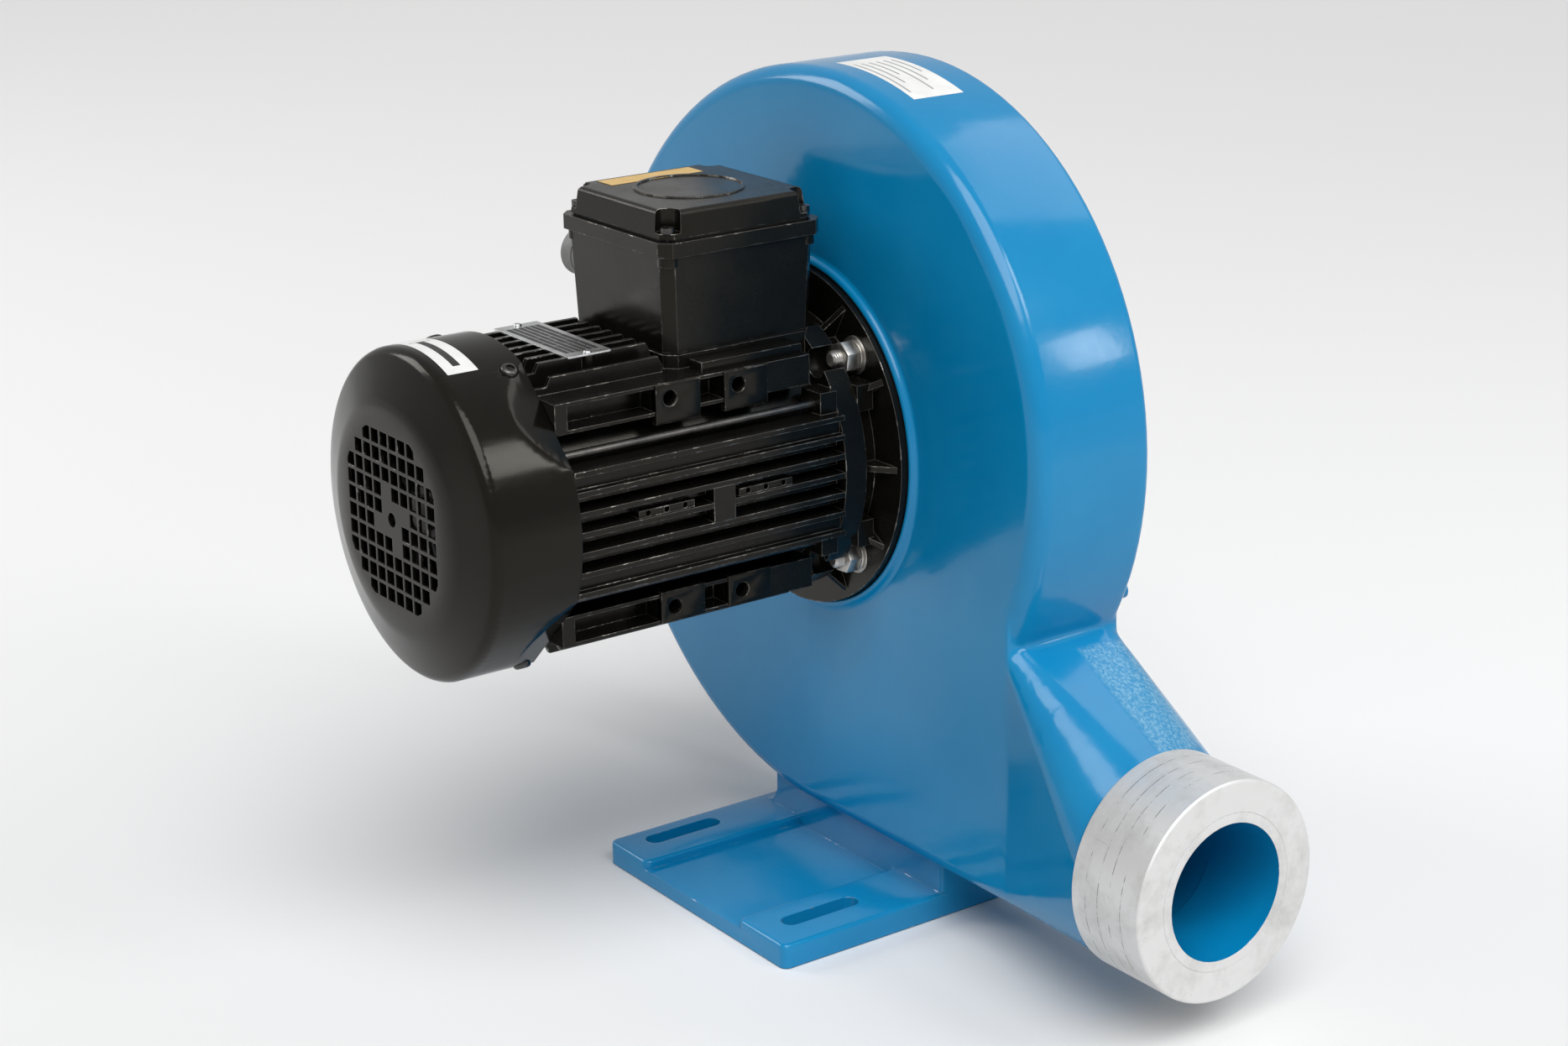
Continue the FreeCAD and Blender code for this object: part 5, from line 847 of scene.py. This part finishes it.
@dataclass
class Casing:
    """The cast casing with its rounded foot pads and its hollow under the scroll.

    Args:
        finishes: The finished materials by slot.
        pad_top: Height of the pads.
        plate_top: Height of the foot between them.
        wall: Place of the pedestal's wall along Y.
        foot_side: Place of the foot's side toward the outlet.
        slots_x: Middles of the foot's slots across.
        slots_y: Lowest and highest place of the slots along Y.
        slot_half: Half width of a slot with its edge.
        pad_round: Rounding of the pads' edges.
        plate_round: Rounding of the hollow edges along the plate.
        corner_round: Rounding of the pedestal's corner.
        crease_front: Box round the crease on the casing's motor side.
        crease_side: Box round the crease between the scroll and the duct.
        neck_end: Place of the neck's machined end.
        neck_slack: How far its points may lie off that place.
        rim_radius: Inner radius of the rim round the motor's flange.
        rim: The rim's profile: places along Y, and distances out from that radius.
    """

    finishes: Finishes
    pad_top: float = 0.0142
    plate_top: float = 0.009
    wall: float = 0.013
    foot_side: float = 0.111
    slots_x: Pair = (-0.054, 0.086)
    slots_y: Pair = (-0.083, -0.029)
    slot_half: float = 0.0065
    pad_round: float = 0.0022
    plate_round: float = 0.0016
    corner_round: float = 0.003
    crease_front: Box = ((0.150, -0.012, 0.058), (0.222, 0.006, 0.175))
    crease_side: Box = ((0.160, -0.006, 0.158), (0.207, 0.090, 0.228))
    neck_end: float = 0.315
    neck_slack: float = 0.00003
    rim_radius: float = 0.10032
    rim: Profile = (
        (0.002, 0.0), (-0.0024, 0.0), (-0.0030, 0.0005), (-0.0032, 0.0012), (-0.0031, 0.0022),
        (-0.0026, 0.0031), (-0.0018, 0.0037), (-0.0010, 0.0041), (-0.0004, 0.0048),
        (-0.0001, 0.0058), (0.0001, 0.0072), (0.002, 0.0072))

    def build(self) -> None:
        """Dress the casing."""
        mesh = merged("scroll_housing")
        self.round_foot(mesh)
        self.round_crease(mesh)
        self.bare_neck(mesh)
        piece = new_object(mesh, "casing_casting",
                           [self.finishes["casing_paint"], self.finishes["turned_aluminium"]])
        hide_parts("scroll_housing")
        self.flange_rim()

    def on_foot(self, edge: bmesh.types.BMEdge, level: float) -> bool:
        """Whether an edge is on the foot's outline at one level and not in a slot.

        Args:
            edge: The edge.
            level: The height.

        Returns:
            True on the outline in front of the pedestal.
        """
        middle = (edge.verts[0].co + edge.verts[1].co) / 2
        in_slot = self.slots_y[0] < middle.y < self.slots_y[1] and any(
            abs(middle.x - place) < self.slot_half for place in self.slots_x)
        return (not in_slot and len(edge.link_faces) == 2 and middle.y <= self.wall - SLACK
                and edge.calc_face_angle(0.0) >= EDGE_ANGLE
                and all(abs(vert.co.z - level) <= OFF_PLANE for vert in edge.verts))

    def round_foot(self, mesh: Mesh) -> None:
        """Round the pads' upper edges, the hollow edges along the plate and the pedestal.

        Args:
            mesh: The casting.
        """
        low = [edge for edge in mesh.edges
               if all(vert.co.z < self.pad_top + SLACK and vert.co.y < self.wall + SLACK
                      for vert in edge.verts)]
        verts = list({vert for edge in low for vert in edge.verts})
        bmesh.ops.dissolve_limit(mesh, angle_limit=FLAT_ANGLE, use_dissolve_boundaries=False,
                                 verts=verts, edges=low, delimit=set())
        for level, size in ((self.pad_top, self.pad_round), (self.plate_top, self.plate_round)):
            bevel(mesh, [edge for edge in mesh.edges if self.on_foot(edge, level)], size, 4)
        corner = [edge for edge in mesh.edges
                  if all(abs(vert.co.x - self.foot_side) < OFF_PLANE
                         and abs(vert.co.y - self.wall) < OFF_PLANE
                         and vert.co.z > self.pad_top - SLACK for vert in edge.verts)]
        bevel(mesh, corner, self.corner_round, 5)

    def round_crease(self, mesh: Mesh) -> None:
        """Round the crease between the scroll and the duct, and the front below it."""
        soften(mesh, *map(Vector, self.crease_front), (20, 0, 32), ((0.004, 16),))
        soften(mesh, *map(Vector, self.crease_side), (16, 32, 24), ((0.003, 6), (0.012, 20)))

    def flange_rim(self) -> None:
        """Turn the low rounded rim that stands round the motor's flange."""
        profile = tuple((along, self.rim_radius + out) for along, out in self.rim)
        mesh = turned(profile, AXIS, WAY_Y, 180)
        piece = new_object(mesh, "flange_rim", [self.finishes["casing_paint"]], 50.0)

    def bare_neck(self, mesh: Mesh) -> None:
        """Leave the neck's machined end without paint.

        Args:
            mesh: The casting.
        """
        for face in mesh.faces:
            if all(abs(vert.co.x - self.neck_end) < self.neck_slack for vert in face.verts):
                face.material_index = 1


@dataclass
class Cowl:
    """The pressed fan cowl, with soft edges round its four corner flats.

    Args:
        paint: The cowl's paint.
        near_edge: Inner side of a corner's box, across and up from the shaft.
        far_edge: Outer side of that box.
        mouth: Place of the open edge along Y.
        shoulder: Place along Y where the flats have run out.
        cuts: Cuts of a corner along each axis.
        passes: Smoothing passes of a corner.
    """

    paint: Material
    near_edge: float = 0.034
    far_edge: float = 0.088
    mouth: float = -0.2096
    shoulder: float = -0.2575
    cuts: tuple[int, int, int] = (16, 16, 16)
    passes: int = 10

    def build(self) -> None:
        """Soften the corners of the cowl."""
        mesh = merged("fan_cowl")
        for side in (-1, 1):
            for up in (-1, 1):
                xs = sorted((side * self.near_edge, side * self.far_edge))
                zs = sorted((up * self.near_edge, up * self.far_edge))
                soften(mesh, Vector((xs[0], self.shoulder, AXIS.z + zs[0])),
                       Vector((xs[1], self.mouth, AXIS.z + zs[1])), self.cuts,
                       ((0.0, self.passes),))
        piece = new_object(mesh, "cowl_pressing", [self.paint])
        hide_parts("fan_cowl")


@dataclass
class CowlScrews:
    """The cowl's four low screws with hexagon sockets.

    Args:
        steel: The screws' metal.
        reach: Distance of their seats from the shaft.
        place: Their place along Y.
        angles: Their directions from the shaft, in degrees from +X.
        outline: A head's profile: heights and distances from its middle.
        socket: The radii between which the outline is drawn out to a hexagon.
    """

    steel: Material
    reach: float = 0.0909
    place: float = -0.2175
    angles: tuple[float, ...] = (64.0, 116.0, 244.0, 296.0)
    outline: Profile = ((-0.002, 0.0048), (0.0005, 0.0048), (0.0012, 0.0045), (0.0017, 0.0038),
                        (0.0020, 0.0029), (0.0020, 0.0022), (0.0002, 0.0021), (0.0001, 0.0))
    socket: Pair = (0.0019, 0.0024)

    def build(self) -> None:
        """Build the four heads."""
        mesh = bmesh.new()
        for angle in self.angles:
            turn = math.radians(angle)
            self.head(mesh, Vector((math.cos(turn), 0.0, math.sin(turn))))
        piece = new_object(mesh, "cowl_button_screws", [self.steel], 40.0)
        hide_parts("cowl_screws")

    def head(self, mesh: Mesh, way: Vector) -> None:
        """Add one head.

        Args:
            mesh: The piece.
            way: Direction from the shaft.
        """
        part = turned(self.outline, Vector(), WAY_Y, 36, False)
        for vert in part.verts:
            if self.socket[0] < math.hypot(vert.co.x, vert.co.z) < self.socket[1]:
                angle = (math.atan2(vert.co.x, vert.co.z) + math.pi / 6) % (math.pi / 3)
                grow = 1.0 / math.cos(angle - math.pi / 6)
                vert.co.x *= grow
                vert.co.z *= grow
        bmesh.ops.rotate(part, verts=part.verts, cent=(0, 0, 0),
                         matrix=WAY_Y.rotation_difference(way).to_matrix())
        bmesh.ops.translate(part, verts=part.verts,
                            vec=AXIS + way * self.reach + WAY_Y * self.place)
        add(mesh, part)


@dataclass
class FramePads:
    """The drilled foot pads that stand proud of the motor's corner beams.

    Args:
        paint: The motor's paint.
        side: Side of the beams from the shaft.
        rise: How far the pads stand out.
        depth: How far they reach into the beams.
        starts: Low ends of the pads along Y.
        length: Length of a pad.
        upper: Lowest and highest place of the upper pads.
        lower: Lowest and highest place of the lower pads.
        rim: Rounding of a pad's outer edges.
        hole: Radius of the holes.
        hole_place: Holes from the pads' low ends.
        beam: Middle of the beams above and below the shaft.
        points: Points round a hole.
        step_size: Size of the low step between a front pad and the box.
        step_place: Middle of the step toward the outlet.
        step_rim: Rounding of the step's edges.
    """

    paint: Material
    side: float = 0.067
    rise: float = 0.0013
    depth: float = 0.0025
    starts: Pair = (-0.146, -0.102)
    length: float = 0.0285
    upper: Pair = (0.3148, 0.3369)
    lower: Pair = (0.2031, 0.2212)
    rim: float = 0.0007
    hole: float = 0.0042
    hole_place: float = 0.009
    beam: float = 0.0585
    points: int = 40
    step_size: Point = (0.0125, 0.066, 0.0070)
    step_place: Point = (0.0550, -0.079, 0.3388)
    step_rim: float = 0.0008

    def build(self) -> None:
        """Build the eight pads and the two steps beside the box."""
        mesh = bmesh.new()
        for side in (-1, 1):
            for start in self.starts:
                self.pad(mesh, side, start, AXIS.z + self.beam, self.upper)
                self.pad(mesh, side, start, AXIS.z - self.beam, self.lower)
            self.step(mesh, side)
        bmesh.ops.recalc_face_normals(mesh, faces=mesh.faces)
        piece = new_object(mesh, "frame_pads", [self.paint])

    def pad(self, mesh: Mesh, side: int, start: float, height: float,
            reach: Pair) -> None:
        """Add one pad with its countersunk hole.

        Args:
            mesh: The piece.
            side: 1 toward the outlet, -1 away from it.
            start: Low end of the pad along Y.
            height: Height of the hole.
            reach: Lowest and highest place of the pad.
        """
        part = bmesh.new()
        outline = placed((start + self.length / 2, sum(reach) / 2, 0.0),
                         (self.length, reach[1] - reach[0], 1.0))
        square = bmesh.ops.create_grid(part, x_segments=1, y_segments=1, size=0.5,
                                       matrix=outline)["verts"]
        bmesh.ops.delete(part, geom=list(square[0].link_faces), context="FACES_ONLY")
        bmesh.ops.create_circle(part, cap_ends=False, segments=self.points, radius=self.hole,
                                matrix=Matrix.Translation((start + self.hole_place, height, 0)))
        bmesh.ops.triangle_fill(part, use_beauty=True, use_dissolve=False, edges=part.edges)
        grown = bmesh.ops.extrude_face_region(part, geom=part.faces, use_keep_orig=True)["geom"]
        raised = [item for item in grown if isinstance(item, bmesh.types.BMVert)]
        bmesh.ops.translate(part, verts=raised, vec=(0.0, 0.0, self.depth + self.rise))
        bmesh.ops.recalc_face_normals(part, faces=part.faces)
        rims = [edge for edge in part.edges if all(vert.co.z > self.depth for vert in edge.verts)
                and edge.calc_face_angle(0.0) > EDGE_ANGLE]
        bevel(part, rims, self.rim)
        turn = Matrix(((0, 0, side, side * (self.side - self.depth)), (1, 0, 0, 0),
                       (0, 1, 0, 0), (0, 0, 0, 1)))
        bmesh.ops.transform(part, matrix=turn, verts=part.verts)
        add(mesh, part)

    def step(self, mesh: Mesh, side: int) -> None:
        """Add the low step between a front pad and the box.

        Args:
            mesh: The piece.
            side: 1 toward the outlet, -1 away from it.
        """
        across, along, up = self.step_place
        made = bmesh.ops.create_cube(mesh, size=1.0, matrix=placed(
            (side * across, along, up), self.step_size))["verts"]
        bevel(mesh, list({edge for vert in made for edge in vert.link_edges}), self.step_rim)


@dataclass
class OutletCollar:
    """The turned ring at the outlet.

    Args:
        finishes: The finished materials by slot.
        outline: The ring's profile with its broken edges: places along X, and radii.
    """

    finishes: Finishes
    outline: Profile = (
        (0.2627, 0.04402), (0.2627, 0.06055), (0.2639, 0.06175), (0.3138, 0.06175),
        (0.3147, 0.06105), (0.315, 0.06015), (0.315, 0.04402))

    def build(self) -> None:
        """Turn the ring."""
        mesh = turned(self.outline, COLLAR_CENTRE, WAY_X, 160)
        piece = new_object(mesh, "turned_collar", [self.finishes["turned_aluminium"]], 8.0)
        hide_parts("outlet_collar")


@dataclass
class FlangeFixings:
    """The studs, nuts and washers of the motor flange.

    Args:
        finishes: The finished materials by slot.
        reach: Place of a stud across and up from the shaft.
        twist: How much farther each set is turned than the one before, in degrees.
        core: A stud's profile without its thread: places along Y, and radii.
        ridge: Section of the thread's first turn, in the same terms.
        pitch: Pitch of the thread.
        turns: Turns of the thread that show.
        turn_steps: Steps of a turn.
        flats: Distance across the nut's flats.
        height: Height of the nut.
        nut_place: Middle of the nut along Y.
        nut_rounds: Rounding of the nut's end edges and of its corners.
        plain: The plain washer's profile.
        spring: The spring washer's profile.
        spring_arc: How far the spring washer goes round, in degrees.
    """

    finishes: Finishes
    reach: float = 0.0583
    twist: float = 17.0
    core: Profile = ((-0.0247, 0.0), (-0.0247, 0.0035), (-0.0241, 0.0042), (0.0158, 0.0042),
                     (0.0158, 0.0))
    ridge: Profile = ((-0.024575, 0.0041), (-0.02399, 0.005), (-0.02381, 0.005),
                      (-0.023225, 0.0041))
    pitch: float = 0.0015
    turns: int = 4
    turn_steps: int = 24
    flats: float = 0.0165
    height: float = 0.009
    nut_place: float = -0.0142
    nut_rounds: Pair = (0.0009, 0.0005)
    plain: Profile = ((-0.0072, 0.005), (-0.0072, 0.0109), (-0.0074, 0.011), (-0.0083, 0.011),
                      (-0.0085, 0.0108), (-0.0085, 0.005))
    spring: Profile = ((-0.0085, 0.005), (-0.0085, 0.0088), (-0.0088, 0.0091),
                       (-0.0094, 0.0091), (-0.0097, 0.0088), (-0.0097, 0.005))
    spring_arc: float = 350.0

    def build(self) -> None:
        """Build the four sets."""
        places = [AXIS + Vector((x * self.reach, 0.0, z * self.reach))
                  for x in (-1, 1) for z in (-1, 1)]
        for maker, name, node in ((self.stud, "threaded_studs", "flange_studs"),
                                  (self.nut, "hexagon_nuts", "flange_nuts"),
                                  (self.washers, "plain_and_spring_washers", "flange_washers")):
            mesh = bmesh.new()
            for index, place in enumerate(places):
                maker(mesh, place, self.twist * index)
            piece = new_object(mesh, name, [self.finishes["stainless"]])
            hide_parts(node)

    def stud(self, mesh: Mesh, place: Vector, turn: float) -> None:
        """Add one stud, with its thread as a ridge wound round a core.

        Args:
            mesh: The piece.
            place: The stud's axis.
            turn: Start of the thread in degrees.
        """
        add(mesh, turned(self.core, place, WAY_Y, 32, False))
        add(mesh, wound(self.ridge, place, turn, 360.0 * self.turns,
                        self.turn_steps * self.turns, self.pitch / self.turn_steps))

    def nut(self, mesh: Mesh, place: Vector, turn: float) -> None:
        """Add one nut with rounded corners.

        Args:
            mesh: The piece.
            place: The stud's axis.
            turn: Turn of the nut in degrees.
        """
        part = bmesh.new()
        radius = self.flats / math.sqrt(3.0)
        bmesh.ops.create_cone(part, cap_ends=True, segments=6, radius1=radius, radius2=radius,
                              depth=self.height)
        bevel(part, [edge for edge in part.edges
                     if abs(edge.verts[0].co.z - edge.verts[1].co.z) < SLACK],
              self.nut_rounds[0])
        bevel(part, [edge for edge in part.edges
                     if abs(edge.verts[0].co.z - edge.verts[1].co.z) > self.height / 2],
              self.nut_rounds[1])
        for angle, axis in ((turn, "Z"), (90.0, "X")):
            bmesh.ops.rotate(part, verts=part.verts, cent=(0, 0, 0),
                             matrix=Matrix.Rotation(math.radians(angle), 3, axis))
        bmesh.ops.translate(part, verts=part.verts, vec=place + WAY_Y * self.nut_place)
        add(mesh, part)

    def washers(self, mesh: Mesh, place: Vector, turn: float) -> None:
        """Add one plain washer and one spring washer, split at a place set by the turn."""
        add(mesh, turned(self.plain, place, WAY_Y, 48))
        add(mesh, wound(self.spring, place, turn * 5.0 + 40.0, self.spring_arc, 46))


@dataclass
class Sticker:
    """A thin printed film that follows a round or a flat surface.

    Args:
        name: The piece's name.
        paper: Its material.
        ink: The print's material.
        radius: Radius of the surface that carries it, or 0 where that is flat.
        centre: A point on the axis of that surface, or on the flat surface.
        across: Lowest and highest place across, in metres along the surface.
        along: Lowest and highest place along Y.
        marks: The print's strips: low and high across, low and high along.
        head: An arrow's head: its tip and its base across, its low and high side.
        film_top: Upper face of the film above the surface.
        ink_top: Upper face of the print.
        foot: Underside of both.
        columns: Faces across a strip, so that it can bend.
    """

    name: str
    paper: Material
    ink: Material
    radius: float
    centre: Vector
    across: Pair
    along: Pair
    marks: list[tuple[float, float, float, float]]
    head: tuple[float, float, float, float] | None = None
    film_top: float = 0.0001
    ink_top: float = 0.00014
    foot: float = -0.0001
    columns: int = 24

    def build(self) -> None:
        """Lay the film and its print on the surface."""
        mesh = bmesh.new()
        self.strip(mesh, (*self.across, *self.along), self.film_top, 0)
        for mark in self.marks:
            self.strip(mesh, mark, self.ink_top, 1)
        if self.head:
            self.point(mesh)
        bmesh.ops.recalc_face_normals(mesh, faces=mesh.faces)
        self.wrap(mesh)
        new_object(mesh, self.name, [self.paper, self.ink])

    def strip(self, mesh: Mesh, box: tuple[float, ...], height: float,
              index: int) -> None:
        """Add one thin box.

        Args:
            mesh: The piece.
            box: Low and high across, low and high along.
            height: Its top above the surface.
            index: Material.
        """
        low_x, high_x, low_y, high_y = box
        made = bmesh.ops.create_grid(mesh, x_segments=self.columns, y_segments=1,
                                     size=0.5)["verts"]
        for vert in made:
            vert.co = Vector((low_x + (vert.co.x + 0.5) * (high_x - low_x),
                              low_y + (vert.co.y + 0.5) * (high_y - low_y), height))
        self.thicken(mesh, list({face for vert in made for face in vert.link_faces}), index)

    def thicken(self, mesh: Mesh, faces: list[bmesh.types.BMFace], index: int) -> None:
        """Draw flat faces down to the film's underside.

        Args:
            mesh: The piece.
            faces: The flat faces.
            index: Material.
        """
        for face in faces:
            face.material_index = index
        down = bmesh.ops.extrude_face_region(mesh, geom=faces, use_keep_orig=True)["geom"]
        for item in down:
            if isinstance(item, bmesh.types.BMVert):
                item.co.z = self.foot

    def point(self, mesh: Mesh) -> None:
        """Add the arrow's head.

        Args:
            mesh: The piece.
        """
        tip, base, low, high = self.head
        corners = [mesh.verts.new((*place, self.ink_top))
                   for place in ((tip, (low + high) / 2), (base, low), (base, high))]
        self.thicken(mesh, [mesh.faces.new(corners)], 1)

    def wrap(self, mesh: Mesh) -> None:
        """Bend the flat film round the surface's axis, or only move it there.

        Args:
            mesh: The piece.
        """
        for vert in mesh.verts:
            if self.radius:
                angle = vert.co.x / self.radius
                reach = self.radius + vert.co.z
                vert.co = self.centre + Vector((reach * math.sin(angle), vert.co.y,
                                                reach * math.cos(angle)))
            else:
                vert.co = vert.co + self.centre


@dataclass
class RatingPlate:
    """The print on the motor's plate: ruled dark fields without any words.

    Args:
        ink: The print's material.
        front: Low place of the plate along Y.
        back: High place along Y.
        border: Bare metal beyond the first and the last row.
        gap: Half the bare line between two rows.
        top: Upper face of the metal.
        rise: How far the print stands above it.
        thickness: Thickness of the print.
        rows: Ruled rows on the plate.
        fields: Low and high place across of the fields, in even and in odd rows.
    """

    ink: Material
    front: float = -0.18125
    back: float = -0.15375
    border: float = 0.003
    gap: float = 0.0004
    top: float = 0.352
    rise: float = 0.00006
    thickness: float = 0.00012
    rows: int = 6
    fields: tuple[Profile, Profile] = (
        ((-0.031, 0.0052), (0.006, 0.031)),
        ((-0.031, -0.006), (-0.0052, 0.0128), (0.0136, 0.031)))

    def build(self) -> None:
        """Build the plate's printed fields, just above the metal."""
        mesh = bmesh.new()
        height = self.top + self.rise - self.thickness / 2
        depth = (self.back - self.front - 2 * self.border) / self.rows
        for row in range(self.rows):
            middle = self.front + self.border + (row + 0.5) * depth
            for left, right in self.fields[row % 2]:
                bmesh.ops.create_cube(mesh, size=1.0, matrix=placed(
                    ((left + right) / 2, middle, height),
                    (right - left, depth - 2 * self.gap, self.thickness)))
        bmesh.ops.recalc_face_normals(mesh, faces=mesh.faces)
        new_object(mesh, "plate_print", [self.ink])


def stickers(ink: Material) -> list[Sticker]:
    """The films on the cowl, the lid and the casing.

    Args:
        ink: The black print's material.

    Returns:
        The three films.
    """
    white = WHITE_FILM.build()
    pitch = 0.0052
    rows = [(0.006, 0.058 - 0.012 * (row % 3), 0.0245 + pitch * row, 0.0258 + pitch * row)
            for row in range(6)]
    return [
        Sticker("direction_film", white, ink, 0.091, AXIS, (-0.0235, 0.0365),
                (-0.2515, -0.2335), [(-0.0095, 0.0300, -0.2450, -0.2405)],
                (-0.0205, -0.0095, -0.2490, -0.2362)),
        Sticker("lid_film", TAN_PAPER.build(), ink, 0.0, Vector((0.0, 0.0, 0.42345)),
                (-0.0432, -0.0285), (-0.1085, -0.0480), []),
        Sticker("casing_film", white, GREY_INK.build(), 0.1975, Vector((0.010, 0.0, 0.2837)),
                (-0.006, 0.066), (0.0215, 0.0560), rows)]


PHOTO = Camera(
    place=Vector((1.34207, -0.96949, 0.76216)),
    right=Vector((0.58367, 0.81187, -0.01367)),
    down=Vector((0.23306, -0.18363, -0.95497)),
    lens=68.65,
    shift=(-0.0019, -0.0365))


def main() -> None:
    """Build the studio, dress the solids and add the pieces that only show."""
    logging.basicConfig(level=logging.INFO, format="%(message)s")
    scene = bpy.context.scene
    scene.view_settings.view_transform = "Standard"
    PHOTO.build()
    Studio().build()
    dresser = Dresser()
    dresser.dress()
    finishes = dresser.materials
    Casing(finishes).build()
    Cowl(dresser.special["fan_cowl"]).build()
    CowlScrews(finishes["dark_steel"]).build()
    FramePads(finishes["motor_paint"]).build()
    OutletCollar(finishes).build()
    FlangeFixings(finishes).build()
    ink = BLACK_INK.build()
    RatingPlate(ink).build()
    for sticker in stickers(ink):
        sticker.build()


if __name__ == "__main__":
    main()
